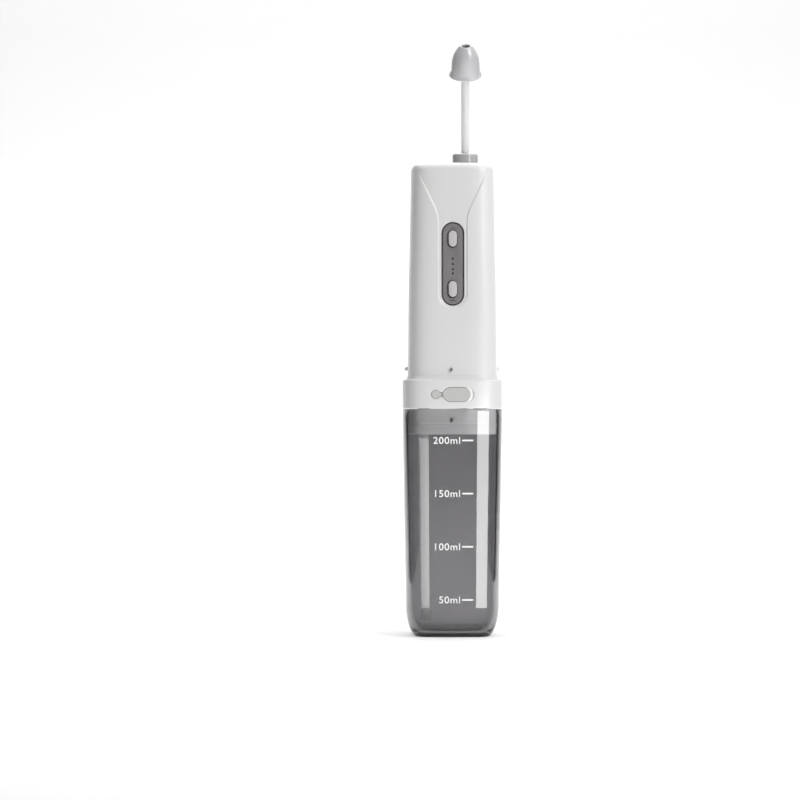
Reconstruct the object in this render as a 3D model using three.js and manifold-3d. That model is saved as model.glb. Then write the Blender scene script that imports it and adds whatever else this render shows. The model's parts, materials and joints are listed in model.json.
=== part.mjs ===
// Cordless ear irrigator: water tank below, pump handset above, turning nozzle with a soft ear tip.
// Millimetres, +Z up, origin at the centre of the tank's foot, front face towards -Y.

import * as THREE from "three";
import { mergeVertices } from "three/addons/utils/BufferGeometryUtils.js";
import Module from "manifold-3d";

const wasm = await Module();
wasm.setup();

// ---------------------------------------------------------------- driving dimensions

const GAP = 0.3; // between pieces that touch
const SECTION_POWER = 4.6; // exponent of the rounded-square cross-section
const QUARTER = Math.PI / 2;

// Each station is [height, half width] of a rounded-square section.
const TANK_OUTER = [
  [0, 19.4], [0.5, 20.1], [1.7, 20.85], [3.7, 21.65], [5.8, 22.45], [7.8, 23.05], [9.8, 23.5], [11.9, 23.8],
  [15, 23.93], [20, 24.0], [103, 25.37], [110, 25.5], [116.1, 25.5],
];
const TANK_INNER = [
  [3.4, 15.6], [3.9, 17.6], [5.2, 19.3], [7.6, 20.7], [10, 21.5], [13, 21.85],
  [20, 22.0], [103, 23.37], [110, 23.5], [117, 23.5],
];
const SHELL = { foot: 133.7, top: 241.6, wall: 1.8, topWall: 2.2, edge: 4.0 };
const SHELL_SIDE = [[SHELL.foot, 22.86], [136, 22.8], [172, 22.4], [203, 21.75], [232, 21.2]];
const COLLAR = { foot: 116.4, top: 133.4, half: 25.5, bore: 20.9 };
const COLLAR_SIDE = [
  [COLLAR.foot, COLLAR.half], [130.3, COLLAR.half], [130.8, 25.3], [131.1, 24.7], [131.15, 23.45],
  [COLLAR.top, 22.95],
];
const NECK = { foot: 103.2, top: 116.1, half: 22.95, wall: 2.1, floor: 3.0 };
const GASKET = { z: 107.0, height: 1.7, depth: 1.3, outer: 23.34 };
const NUB = { radius: 0.85, length: 1.9, shellZ: 136.0, neckZ: 111.0 };

const PANEL = { width: 11.0, height: 42.1, z: 189.9, depth: 2.4, sink: 0.35, flange: 1.3 };
const BUTTON = { width: 4.2, height: 8.1, offset: 12.8, proud: 0.95, play: 0.3, lip: 0.8 };
const LIGHTS = [2.6, -0.1, -2.7, -4.8]; // heights of the four light pipes from the panel's centre
const LIGHT_RADIUS = 0.5;

const FLAP = { z: 123.5, left: -5.2, right: 8.7, height: 7.8, thick: 1.9, face: 25.4 };
const THUMB = { x: 7.0, radius: 3.95, depth: 1.1 };
const TAB = { x: -8.7, radius: 2.25, neck: 2.2 };
const PORT = { x: 1.9, width: 8.9, height: 3.2, wall: 0.35, front: -23.0, length: 7.2 };

const NOZZLE = { x: 6.8, collarRadius: 6.65, collarHeight: 5.5, bore: 2.4 };
const TUBE = { outer: 2.1, inner: 1.1, foot: 234.5, bendStart: 280, bendRadius: 10, tail: 13.2 };
const TIP = { tilt: THREE.MathUtils.degToRad(30), flange: 8.4, length: 16.2, lead: 3.2 };
const SOCKET = { foot: 229.8, top: 241.3, radius: 5.9, bore: 4.4, flange: 9.0 };
const STEM = { foot: 233, top: 241.6, radius: 3.9 };

const SUCTION = { x: -14.2, y: 7, outer: 2.1, inner: 1.3, foot: 8.5, top: 106.5 };
const FILTER = { radius: 3.4, foot: 6.6, height: 8 };
const HOSE = { outer: 2.0, inner: 1.0 };

const BATTERY = { x: -9.6, y: 8.4, radius: 9.1, foot: 146, height: 65 };
const MOTOR = { x: 9.6, y: 8.0, foot: 188, height: 30, radius: 10.2, flat: 7.8 };
const PINION = { foot: 179.2, height: 5.6, root: 1.5, tip: 2.2, teeth: 8, shaft: 1.0 };
const CRANK = { z: 173.7, y: 4.1, disc: 2.0, radius: 8.5, teeth: 32, tooth: 1.4, throw: 3.0, pin: 1.5 };
const PUMP = { x: 9.6, y: -2.3, foot: 137, height: 21, outer: 7.0, bore: 4.5, floor: 2.0 };
const PISTON = { radius: 4.2, foot: 139.6, height: 8, rod: 1.8 };
const BLOCK = { left: 3.0, right: 18.5, front: -9.9, back: 4.3, foot: 126, top: 136.7 };
const VALVES = { inletX: 6.6, outletX: 12.6, bore: 2.2, disc: 1.9, thick: 1.2 };
const OUTLET = { x: 16.6, y: -8.0 };

const PLATE = { front: -12.4, back: -10.6, left: -16, right: 14, top: 226 };
const BASE = { foot: 117.5, top: 119.5, half: 20.4 };
const SHELF = { foot: 185.4, top: 187.4 };
const SCREW = { reach: 14.6, head: 2.5, shank: 1.2, sink: 1.9, top: 124 };

const COLORS = {
  smoke: 0x8b8b8e, white: 0xeeeeec, pale: 0xd5d5d4, graphite: 0x7d787a, key: 0xc8c3c5, silicone: 0xbec0bc,
  steel: 0xb9bcc0, dark: 0x2b2c2e, board: 0x2f5d46, brass: 0xc2a25a, cell: 0x3f6fa8, soft: 0xdedde0,
  grey: 0x9c9da0, milk: 0xe9edef, nylon: 0xe6e2d4,
};

// ---------------------------------------------------------------- geometry helpers

function isSolid(shape) {
  return typeof shape.getMesh === "function";
}

function outward(geometry) {
  const position = geometry.attributes.position;
  const index = geometry.index.array;
  const [a, b, c] = [new THREE.Vector3(), new THREE.Vector3(), new THREE.Vector3()];
  let volume = 0;
  for (let i = 0; i < index.length; i += 3) {
    a.fromBufferAttribute(position, index[i]);
    b.fromBufferAttribute(position, index[i + 1]);
    c.fromBufferAttribute(position, index[i + 2]);
    volume += a.dot(b.cross(c));
  }
  if (volume < 0) {
    for (let i = 0; i < index.length; i += 3) {
      [index[i + 1], index[i + 2]] = [index[i + 2], index[i + 1]];
    }
  }
  return geometry;
}

function solid(shape) {
  if (isSolid(shape)) {
    return shape;
  }
  const bare = shape.clone();
  bare.deleteAttribute("normal");
  bare.deleteAttribute("uv");
  const welded = outward(mergeVertices(bare, 1e-4));
  return new wasm.Manifold(new wasm.Mesh({
    numProp: 3,
    vertProperties: new Float32Array(welded.attributes.position.array),
    triVerts: new Uint32Array(welded.index.array),
  }));
}

function cut(base, ...tools) {
  return tools.reduce((rest, tool) => rest.subtract(solid(tool)), solid(base));
}

function fuse(base, ...more) {
  return more.reduce((whole, next) => whole.add(solid(next)), solid(base));
}

function toGeometry(shape) {
  const mesh = solid(shape).getMesh();
  const geometry = new THREE.BufferGeometry();
  geometry.setAttribute("position", new THREE.BufferAttribute(new Float32Array(mesh.vertProperties), 3));
  geometry.setIndex(new THREE.BufferAttribute(new Uint32Array(mesh.triVerts), 1));
  geometry.computeVertexNormals();
  return geometry;
}

function piece(name, shape, color, roughness = 0.5, metalness = 0) {
  const material = new THREE.MeshStandardMaterial({ color, roughness, metalness });
  const mesh = new THREE.Mesh(toGeometry(shape), material);
  mesh.name = name;
  return mesh;
}

// Outline of a square with round corners and slightly bowed sides, half width 1.
function roundedSquare(points) {
  const outline = [];
  const power = 2 / SECTION_POWER;
  const reach = (value) => Math.sign(value) * (Math.abs(value) / Math.cos(Math.PI / points)) ** power;
  for (let i = 0; i < points; i += 1) {
    const turn = (2 * Math.PI * (i + 0.5)) / points;
    outline.push(new THREE.Vector2(reach(Math.cos(turn)), reach(Math.sin(turn))));
  }
  return new THREE.Shape(outline);
}

// A solid through rounded-square sections, one for each [height, half width] station.
function loft(stations, points = 36) {
  const steps = stations.length - 1;
  const options = { depth: steps, steps, bevelEnabled: false };
  const geometry = new THREE.ExtrudeGeometry(roundedSquare(points), options);
  const position = geometry.attributes.position;
  for (let i = 0; i < position.count; i += 1) {
    const [z, half] = stations[Math.round(position.getZ(i))];
    position.setXYZ(i, position.getX(i) * half, position.getY(i) * half, z);
  }
  return geometry;
}

function prism(half, foot, top, points = 32) {
  return loft([[foot, half], [top, half]], points);
}

function halfAt(stations, z) {
  const next = stations.findIndex(([height]) => height >= z);
  const [z0, half0] = stations[next - 1];
  const [z1, half1] = stations[next];
  return half0 + ((half1 - half0) * (z - z0)) / (z1 - z0);
}

function box(x0, x1, y0, y1, z0, z1) {
  const geometry = new THREE.BoxGeometry(x1 - x0, y1 - y0, z1 - z0);
  return geometry.translate((x0 + x1) / 2, (y0 + y1) / 2, (z0 + z1) / 2);
}

// Cylinder along +Z from foot to top.
function post(radius, foot, top, x = 0, y = 0, sides = 20) {
  const geometry = new THREE.CylinderGeometry(radius, radius, top - foot, sides);
  return geometry.rotateX(QUARTER).translate(x, y, (foot + top) / 2);
}

// Cylinder along +Y from front to back.
function bar(radius, front, back, x = 0, z = 0, sides = 24) {
  const geometry = new THREE.CylinderGeometry(radius, radius, back - front, sides);
  return geometry.translate(x, (front + back) / 2, z);
}

// Solid turned about the Z axis from [radius, height] points.
function turned(profile, sides = 28) {
  const points = profile.map(([radius, z]) => new THREE.Vector2(radius, z));
  return new THREE.LatheGeometry(points, sides).rotateX(QUARTER);
}

// Upright outline, extruded along Y from front to back.
function slab(shape, front, back, curveSegments = 5) {
  const options = { depth: back - front, bevelEnabled: false, curveSegments };
  return new THREE.ExtrudeGeometry(shape, options).rotateX(QUARTER).translate(0, back, 0);
}

function stadium(width, height, x = 0, y = 0) {
  const radius = Math.min(width, height) / 2;
  const [dx, dy] = [width / 2 - radius, height / 2 - radius];
  const shape = new THREE.Shape();
  if (height > width) {
    shape.absarc(x, y + dy, radius, 0, Math.PI);
    shape.absarc(x, y - dy, radius, Math.PI, 2 * Math.PI);
  } else {
    shape.absarc(x + dx, y, radius, -QUARTER, QUARTER);
    shape.absarc(x - dx, y, radius, QUARTER, 3 * QUARTER);
  }
  return shape;
}

// Round tube along a curve, open at both ends.
function hose(points, outer, inner, steps = 16, sides = 8) {
  const section = new THREE.Shape();
  section.absarc(0, 0, outer, 0, 2 * Math.PI);
  const hole = new THREE.Path();
  hole.absarc(0, 0, inner, 0, 2 * Math.PI, true);
  section.holes.push(hole);
  const through = points.map((p) => new THREE.Vector3(...p));
  const extrudePath = new THREE.CatmullRomCurve3(through, false, "centripetal");
  const options = { steps, extrudePath, curveSegments: sides / 2, bevelEnabled: false };
  return new THREE.ExtrudeGeometry(section, options);
}

function gearOutline(root, tip, teeth) {
  const shape = new THREE.Shape();
  const pitch = (2 * Math.PI) / teeth;
  const corners = [[root, 0], [root, 0.3], [tip, 0.42], [tip, 0.68], [root, 0.8]];
  for (let tooth = 0; tooth < teeth; tooth += 1) {
    corners.forEach(([radius, share], i) => {
      const turn = (tooth + share) * pitch;
      const move = tooth === 0 && i === 0 ? "moveTo" : "lineTo";
      shape[move](radius * Math.cos(turn), radius * Math.sin(turn));
    });
  }
  shape.closePath();
  return shape;
}

// ---------------------------------------------------------------- tank

function makeTank() {
  return piece("tank", cut(loft(TANK_OUTER), loft(TANK_INNER, 32)), COLORS.smoke, 0.08);
}

// ---------------------------------------------------------------- handset casing

// Small bullet-shaped catch standing out of a face by NUB.length, one on each side.
function nubs(half, z) {
  return [0, 1, 2, 3].map((side) => {
    const stub = new THREE.CapsuleGeometry(NUB.radius, NUB.length, 2, 8);
    return stub.translate(0, half, 0)
      .rotateZ(side * QUARTER).translate(0, 0, z);
  });
}

function shellStations(inset, foot, top, edge) {
  const stations = SHELL_SIDE.map(([z, half]) => [z, half - inset]);
  stations[0][0] = foot;
  const half = stations[stations.length - 1][1] - 0.15;
  for (let i = 0; i <= 5; i += 1) {
    const turn = (i / 5) * QUARTER;
    stations.push([top - edge + edge * Math.sin(turn), half - edge + edge * Math.cos(turn)]);
  }
  return stations;
}

const panelLean = (halfAt(SHELL_SIDE, 172.1) - halfAt(SHELL_SIDE, 202.9)) / 30.8;
const panelFront = -halfAt(SHELL_SIDE, PANEL.z);

// Places a geometry drawn round the panel's centre onto the leaning front face.
function onPanel(geometry) {
  return geometry.rotateX(-panelLean).translate(0, panelFront, PANEL.z);
}

function makeShell() {
  const outer = loft(shellStations(0, SHELL.foot, SHELL.top, SHELL.edge));
  const innerTop = SHELL.top - SHELL.topWall;
  const inner = loft(shellStations(SHELL.wall, SHELL.foot - 1, innerTop, SHELL.edge - 1), 32);
  const window = onPanel(slab(stadium(PANEL.width + 2 * GAP, PANEL.height + 2 * GAP), -3, 4));
  const nozzleHole = post(SOCKET.radius + GAP, SOCKET.foot, SHELL.top + 1, NOZZLE.x, 0, 32);
  const catches = nubs(halfAt(SHELL_SIDE, NUB.shellZ), NUB.shellZ).map((nub) => solid(nub));
  const body = cut(fuse(outer, ...catches), inner, window, nozzleHole);
  return piece("handset_shell", body, COLORS.white, 0.42);
}

function flapOutline(grow) {
  const half = FLAP.height / 2 + grow;
  const [left, right] = [FLAP.left - grow, FLAP.right + grow];
  const shape = new THREE.Shape();
  shape.moveTo(left, -TAB.neck / 2 - grow);
  shape.quadraticCurveTo(left + 1.6, -half, left + 4.6, -half);
  shape.lineTo(right - half, -half);
  shape.absarc(right - half, 0, half, -QUARTER, QUARTER);
  shape.lineTo(left + 4.6, half);
  shape.quadraticCurveTo(left + 1.6, half, left, TAB.neck / 2 + grow);
  shape.closePath();
  return shape;
}

function tabOutline(grow) {
  const radius = TAB.radius + grow;
  const half = TAB.neck / 2 + grow;
  const turn = Math.asin(half / radius);
  const shape = new THREE.Shape();
  shape.moveTo(FLAP.left - GAP, -half);
  shape.lineTo(FLAP.left - GAP, half);
  shape.absarc(TAB.x, 0, radius, turn, 2 * Math.PI - turn);
  shape.closePath();
  return shape;
}

// Front faces of the flap and its tab lie just behind the collar's flat face.
function onCollar(shape, front, back) {
  return slab(shape, front, back).translate(0, 0, FLAP.z);
}

function makeCollar() {
  const outer = loft(COLLAR_SIDE);
  const bore = prism(COLLAR.bore, COLLAR.foot - 1, COLLAR.top + 1);
  const recessBack = -FLAP.face + FLAP.thick + GAP;
  const thumb = new THREE.Shape().absarc(THUMB.x, 0, THUMB.radius, 0, 2 * Math.PI);
  return piece("collar_ring", cut(
    outer,
    bore,
    onCollar(flapOutline(GAP), -FLAP.face - 2, recessBack),
    onCollar(tabOutline(GAP), -FLAP.face - 2, recessBack),
    onCollar(thumb, -FLAP.face - 2, -FLAP.face + THUMB.depth),
    onCollar(stadium(PORT.width + 2 * GAP, PORT.height + 2 * GAP, PORT.x), -FLAP.face, -COLLAR.bore + 2),
  ), COLORS.white, 0.42);
}

function makePortCover() {
  const front = -FLAP.face;
  const back = front + FLAP.thick;
  const plug = onCollar(stadium(PORT.width - 2.4, PORT.height - 1.4, PORT.x), back - 0.2, PORT.front + 0.7);
  return [
    piece("port_cover", fuse(onCollar(flapOutline(0), front, back), plug), COLORS.silicone, 0.6),
    piece("port_cover_anchor", onCollar(tabOutline(0), front, back), COLORS.silicone, 0.6),
  ];
}

function screwPlaces() {
  return [[1, 1], [-1, 1], [-1, -1], [1, -1]].map(([sx, sy]) => [sx * SCREW.reach, sy * SCREW.reach]);
}

function makeNeck() {
  const inner = NECK.half - NECK.wall;
  const floorTop = NECK.foot + NECK.floor;
  const wall = cut(prism(NECK.half, NECK.foot, NECK.top), prism(inner, floorTop, NECK.top + 1));
  const top = GASKET.z + GASKET.height;
  const grooveBand = cut(
    prism(NECK.half + 2, GASKET.z, top),
    prism(NECK.half - GASKET.depth, GASKET.z - 1, top + 1),
  );
  const catches = nubs(NECK.half - 1.5, NUB.neckZ);
  const holes = screwPlaces().flatMap(([x, y]) => [
    post(SCREW.head + GAP, NECK.foot - 1, NECK.foot + SCREW.sink, x, y),
    post(SCREW.shank + GAP, NECK.foot - 1, floorTop + 1, x, y, 16),
  ]);
  const tubeHole = post(SUCTION.outer + GAP, NECK.foot - 1, floorTop + 1, SUCTION.x, SUCTION.y);
  return piece("neck_plug", cut(fuse(wall, ...catches), grooveBand, tubeHole, ...holes), COLORS.pale, 0.45);
}

function makeGasket() {
  const { z, height, outer, depth } = GASKET;
  const [foot, top] = [z + 0.2, z + height - 0.2];
  const band = loft([[foot, outer - 0.5], [foot + 0.4, outer], [top - 0.4, outer], [top, outer - 0.5]]);
  const inner = prism(NECK.half - depth + GAP, foot - 1, top + 1);
  return piece("neck_gasket", cut(band, inner), COLORS.soft, 0.7);
}

// ---------------------------------------------------------------- control panel

const BUTTONS = [["power", BUTTON.offset], ["mode", -BUTTON.offset]];
const panelFace = PANEL.sink;
const panelBack = PANEL.sink + PANEL.depth;

function makePanel() {
  const inset = slab(stadium(PANEL.width, PANEL.height), panelFace, panelBack);
  const rim = stadium(PANEL.width + 2 * PANEL.flange, PANEL.height + 2 * PANEL.flange);
  const flange = slab(rim, panelBack - 0.3, panelBack + 0.7);
  const [wellWidth, wellHeight] = [BUTTON.width + 2 * BUTTON.play, BUTTON.height + 2 * BUTTON.play];
  const wells = BUTTONS.map(([, z]) => (
    slab(stadium(wellWidth, wellHeight, 0, z), panelFace - 1, panelBack + 2)
  ));
  const lights = LIGHTS.map((z) => bar(LIGHT_RADIUS + 0.3, panelFace - 1, panelBack + 2, 0, z, 12));
  const body = piece("control_panel", cut(fuse(inset, flange), ...wells, ...lights), COLORS.graphite, 0.5);

  const pipes = LIGHTS.map((z, i) => (
    piece(`status_light_${i + 1}`, bar(LIGHT_RADIUS, panelFace, panelBack + 2, 0, z, 12), COLORS.milk, 0.2)
  ));

  const keys = BUTTONS.map(([label, z]) => {
    const { width, height, proud, lip: reach } = BUTTON;
    const cap = slab(stadium(width, height, 0, z), panelFace - proud, panelBack + 1.2);
    const lip = slab(stadium(width + 2 * reach, height + 2 * reach, 0, z), panelBack + 1.0, panelBack + 1.8);
    return piece(`${label}_button`, fuse(cap, lip), COLORS.key, 0.45);
  });

  const group = new THREE.Group();
  group.position.set(0, panelFront, PANEL.z);
  group.rotation.x = -panelLean;
  group.add(body, ...pipes, ...keys);
  return group;
}

const BOARD = { width: 15, height: 52, front: -14.0, thick: 1.2 };
const SWITCH = { side: 6, depth: 1.6, plunger: 1.5, reach: 0.3 };

function makeElectronics() {
  const boardShape = stadium(BOARD.width, BOARD.height);
  const board = slab(boardShape, BOARD.front, BOARD.front + BOARD.thick).translate(0, 0, PANEL.z);
  const parts = [piece("circuit_board", board, COLORS.board, 0.6)];
  const back = BOARD.front - GAP;
  BUTTONS.forEach(([label, z]) => {
    const at = PANEL.z + z;
    const half = SWITCH.side / 2;
    const face = back - SWITCH.depth;
    const can = box(-half, half, face, back, at - half, at + half);
    const plunger = bar(SWITCH.plunger, face - SWITCH.reach, face + 0.2, 0, at, 16);
    parts.push(piece(`${label}_switch`, fuse(can, plunger), COLORS.dark, 0.5));
  });

  const { x, width, height, wall, front, length } = PORT;
  const shell = slab(stadium(width, height, x), front, front + length);
  const mouth = slab(stadium(width - 2 * wall, height - 2 * wall, x), front - 1, front + length - 0.8);
  const tongue = box(x - 3.2, x + 3.2, front + 1, front + length - 0.6, -0.35, 0.35);
  const socket = solid(fuse(cut(shell, mouth), tongue));
  const placed = toGeometry(socket).translate(0, 0, FLAP.z);
  parts.push(piece("charge_socket", placed, COLORS.steel, 0.3, 1));
  const boardTop = FLAP.z - height / 2 - GAP;
  const chargeBoard = box(x - 7, x + 7, -20.0, -12.9, boardTop - 1, boardTop);
  parts.push(piece("charge_board", chargeBoard, COLORS.board, 0.6));
  return parts;
}

// ---------------------------------------------------------------- frame, battery and drive

const BRACKET = { front: 12.6, back: 14.6, left: 3, right: 16, foot: 166 };
const PUMP_SCREWS = [6, 14];
const PUMP_SCREW_Z = 131;

function makeChassis() {
  const base = prism(BASE.half, BASE.foot, BASE.top);
  const plate = box(PLATE.left, PLATE.right, PLATE.front, PLATE.back, BASE.foot + 0.5, PLATE.top);
  const legFoot = NECK.foot + NECK.floor + GAP;
  const legs = screwPlaces().map(([x, y]) => post(3.0, legFoot, BASE.foot + 0.5, x, y, 16));
  const motorShelf = box(0.4, 16.8, PLATE.back - 1, 15, SHELF.foot, SHELF.top);
  const cellShelf = box(-17, -1, PLATE.back - 1, 15.5, BATTERY.foot - 2.3, BATTERY.foot - GAP);
  const { left, right, front, back, foot } = BRACKET;
  const bracket = box(left, right, front, back, foot, SHELF.foot + 0.5);
  const whole = fuse(base, plate, ...legs, motorShelf, cellShelf, bracket);
  return piece("chassis_frame", cut(
    whole,
    ...screwPlaces().map(([x, y]) => post(SCREW.shank + GAP, NECK.foot, BASE.top + 1, x, y, 16)),
    ...PUMP_SCREWS.map((x) => bar(1.3, PLATE.front - 1, PLATE.back + 1, x, PUMP_SCREW_Z, 16)),
    post(3.4, SHELF.foot - 1, SHELF.top + 1, MOTOR.x, MOTOR.y),
    post(HOSE.outer + 0.4, SHELF.foot - 1, SHELF.top + 1, OUTLET.x, OUTLET.y),
    post(HOSE.outer + 1.2, BASE.foot - 1, BASE.top + 1, VALVES.inletX, PUMP.y),
  ), COLORS.grey, 0.6);
}

function makeScrews() {
  const base = screwPlaces().map(([x, y], i) => {
    const head = post(SCREW.head, NECK.foot + 0.2, NECK.foot + SCREW.sink - 0.25, x, y);
    const shank = post(SCREW.shank, NECK.foot + 1, SCREW.top - 2, x, y, 16);
    const cross = [box(-1.4, 1.4, -0.35, 0.35, 0, 0.9), box(-0.35, 0.35, -1.4, 1.4, 0, 0.9)];
    const slots = cross.map((slot) => slot.translate(x, y, NECK.foot - 0.1));
    return piece(`base_screw_${i + 1}`, cut(fuse(head, shank), ...slots), COLORS.steel, 0.35, 1);
  });
  const pump = PUMP_SCREWS.map((x, i) => {
    const head = bar(2.2, PLATE.front - 1.8, PLATE.front - GAP, x, PUMP_SCREW_Z);
    const shank = bar(1.0, PLATE.front - 1, -6.5, x, PUMP_SCREW_Z, 16);
    return piece(`pump_screw_${i + 1}`, fuse(head, shank), COLORS.steel, 0.35, 1);
  });
  return [...base, ...pump];
}

function makeBattery() {
  const { x, y, radius, foot, height } = BATTERY;
  const can = turned([
    [0, 0], [radius - 0.4, 0], [radius, 0.4], [radius, height - 2], [radius - 0.7, height - 1.4],
    [3, height - 1.4], [3, height], [0, height],
  ]);
  return piece("battery_cell", can.translate(x, y, foot), COLORS.cell, 0.45);
}

function makeMotor() {
  const { x, y, radius, flat, foot, height } = MOTOR;
  const can = cut(
    post(radius, foot, foot + height, x, y, 40),
    box(x - 20, x - flat, y - 20, y + 20, foot - 1, foot + height + 1),
    box(x + flat, x + 20, y - 20, y + 20, foot - 1, foot + height + 1),
  );
  const boss = post(3, foot - 1.5, foot + 1, x, y);
  const cap = post(3, foot + height - 1, foot + height + 1.2, x, y);
  return piece("drive_motor", fuse(can, boss, cap), COLORS.steel, 0.35, 1);
}

function makePinion() {
  const { foot, height, root, tip, teeth, shaft } = PINION;
  const outline = gearOutline(root, tip, teeth);
  const gear = new THREE.ExtrudeGeometry(outline, { depth: height, bevelEnabled: false });
  const spindle = post(shaft, foot - 0.5, MOTOR.foot - 1.8, 0, 0, 16);
  const body = fuse(gear.translate(0, 0, foot), spindle);
  return piece("motor_pinion", toGeometry(body).translate(MOTOR.x, MOTOR.y, 0), COLORS.brass, 0.35, 1);
}

function makeCrank() {
  const { z, y, disc, radius, teeth, tooth, throw: arm, pin } = CRANK;
  const wheel = bar(radius, y - disc, y, 0, 0, 48);
  const band = Array.from({ length: teeth }, (_, i) => {
    const block = new THREE.BoxGeometry(radius - PINION.root - 4.2, tooth + 0.4, 0.55);
    return block.translate(radius - 1.7, y + tooth / 2 - 0.2, 0).rotateY((2 * Math.PI * (i + 0.5)) / teeth);
  });
  const crankPin = bar(pin, y - disc - 2.6, y - disc + 0.5, 0, -arm, 20);
  const bore = bar(1.56, y - disc - 1, y + 1, 0, 0, 24);
  const rotor = cut(fuse(wheel, ...band, crankPin), bore);
  return [
    piece("crank_gear", toGeometry(rotor).translate(PUMP.x, 0, z), COLORS.nylon, 0.5),
    piece("crank_axle", bar(1.5, y - disc + 0.1, BRACKET.front - GAP, PUMP.x, z), COLORS.steel, 0.3, 1),
  ];
}

// ---------------------------------------------------------------- pump and water path

const YOKE = { front: -3.8, back: -0.8, half: 6.5, height: 8, slot: 4.2 };

function makePiston() {
  const { x, y } = PUMP;
  const pinZ = CRANK.z - CRANK.throw;
  const { foot, height, radius, rod } = PISTON;
  const yokeFoot = pinZ - YOKE.height / 2;
  const frame = box(x - YOKE.half, x + YOKE.half, YOKE.front, YOKE.back, yokeFoot, yokeFoot + YOKE.height);
  const slot = slab(stadium(2 * YOKE.half - 2.4, YOKE.slot, x, pinZ), YOKE.front - 1, YOKE.back + 1);
  const head = post(radius, foot, foot + height, x, y, 32);
  const stem = post(rod, foot + height - 1, yokeFoot + 0.5, x, y, 16);
  const groove = cut(post(radius + 1, foot + 1.5, foot + 4, x, y, 32), post(3.3, foot, foot + 5, x, y, 32));
  const seal = cut(post(4.42, foot + 1.8, foot + 3.7, x, y, 32), post(3.6, foot, foot + 5, x, y, 32));
  return [
    piece("piston_yoke", cut(fuse(cut(frame, slot), head, stem), groove), COLORS.nylon, 0.5),
    piece("piston_seal", seal, COLORS.dark, 0.7),
  ];
}

function makePump() {
  const { x, y, foot, height, outer, bore, floor } = PUMP;
  const { inletX, outletX } = VALVES;
  const barrel = cut(
    post(outer, foot, foot + height, x, y, 32),
    post(bore, foot + floor, foot + height + 1, x, y, 32),
    post(1.2, foot - 1, foot + floor + 1, inletX, y, 12),
    post(1.2, foot - 1, foot + floor + 1, outletX, y, 12),
  );
  const { left, right, front, back, foot: blockFoot, top } = BLOCK;
  const seatZ = PUMP_SCREW_Z;
  const cross = bar(1.2, 0, Math.hypot(OUTLET.x - outletX, OUTLET.y - y), 0, 0, 12)
    .rotateZ(Math.atan2(OUTLET.y - y, OUTLET.x - outletX) - QUARTER).translate(outletX, y, seatZ);
  const block = cut(
    box(left, right, front, back, blockFoot, top),
    post(VALVES.bore, blockFoot - 1, top + 1, inletX, y),
    post(VALVES.bore, seatZ - 2, top + 1, outletX, y),
    post(1.2, seatZ, top + 1, OUTLET.x, OUTLET.y, 12),
    cross,
    ...PUMP_SCREWS.map((at) => bar(1.3, front - 1, -6.2, at, PUMP_SCREW_Z, 16)),
  );
  return [
    piece("pump_cylinder", barrel, COLORS.pale, 0.4),
    piece("valve_block", block, COLORS.grey, 0.5),
    piece("inlet_valve", post(VALVES.disc, 134, 134 + VALVES.thick, inletX, y, 20), COLORS.dark, 0.7),
    piece("outlet_valve", post(VALVES.disc, 134, 134 + VALVES.thick, outletX, y, 20), COLORS.dark, 0.7),
  ];
}

function makeWaterPath() {
  const { x, y, outer, inner, foot, top } = SUCTION;
  const tube = cut(post(outer, foot, top, x, y, 20), post(inner, foot - 1, top + 1, x, y, 16));
  const slots = [0, 1, 2, 3].map((i) => (
    box(-0.5, 0.5, -FILTER.radius - 1, FILTER.radius + 1, 0.4, 1.6).rotateZ((i * Math.PI) / 4)
      .translate(x, y, FILTER.foot)
  ));
  const cage = cut(
    post(FILTER.radius, FILTER.foot, FILTER.foot + FILTER.height, x, y, 24),
    post(outer + GAP, foot - GAP, FILTER.foot + FILTER.height + 1, x, y, 20),
    post(1.2, FILTER.foot + 0.8, foot, x, y, 12),
    ...slots,
  );
  const inlet = hose([
    [x, y, top + GAP], [x, y, top + 2], [x + 2, y - 1, 111.6], [x + 9, y - 5, 113.2],
    [2.5, PUMP.y + 0.8, 113.4], [VALVES.inletX, PUMP.y, 117.5], [VALVES.inletX, PUMP.y, 121],
    [VALVES.inletX, PUMP.y, BLOCK.foot - GAP],
  ], HOSE.outer, HOSE.inner);
  const outlet = hose([
    [OUTLET.x, OUTLET.y, BLOCK.top + GAP], [OUTLET.x, OUTLET.y, 175], [OUTLET.x, OUTLET.y, 206],
    [OUTLET.x - 0.8, OUTLET.y + 0.5, 214], [12.2, -4.4, 220.6], [8.0, -0.9, 224.2], [NOZZLE.x, 0, 228],
    [NOZZLE.x, 0, SOCKET.foot - GAP],
  ], 1.6, 0.9, 20);
  return [
    piece("suction_tube", tube, COLORS.milk, 0.3),
    piece("suction_filter", cage, COLORS.pale, 0.5),
    piece("inlet_hose", inlet, COLORS.milk, 0.4),
    piece("outlet_hose", outlet, COLORS.milk, 0.4),
  ];
}

function makeNozzleSocket() {
  const { foot, top, radius, bore, flange } = SOCKET;
  const flangeTop = SHELL.top - SHELL.topWall - GAP;
  const body = fuse(post(radius, foot, top, 0, 0, 32), post(flange, flangeTop - 2, flangeTop, 0, 0, 36));
  const well = post(bore, STEM.foot - GAP, top + 1, 0, 0, 32);
  const bored = cut(body, well, post(1.6, foot - 1, top, 0, 0, 16));
  return piece("nozzle_socket", toGeometry(bored).translate(NOZZLE.x, 0, 0), COLORS.pale, 0.5);
}

// ---------------------------------------------------------------- nozzle and ear tip

function bendPoint(turn) {
  const { bendStart, bendRadius } = TUBE;
  return [0, -bendRadius * (1 - Math.cos(turn)), bendStart + bendRadius * Math.sin(turn)];
}

function alongTip(distance) {
  const [, y, z] = bendPoint(TIP.tilt);
  return [0, y - distance * Math.sin(TIP.tilt), z + distance * Math.cos(TIP.tilt)];
}

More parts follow.
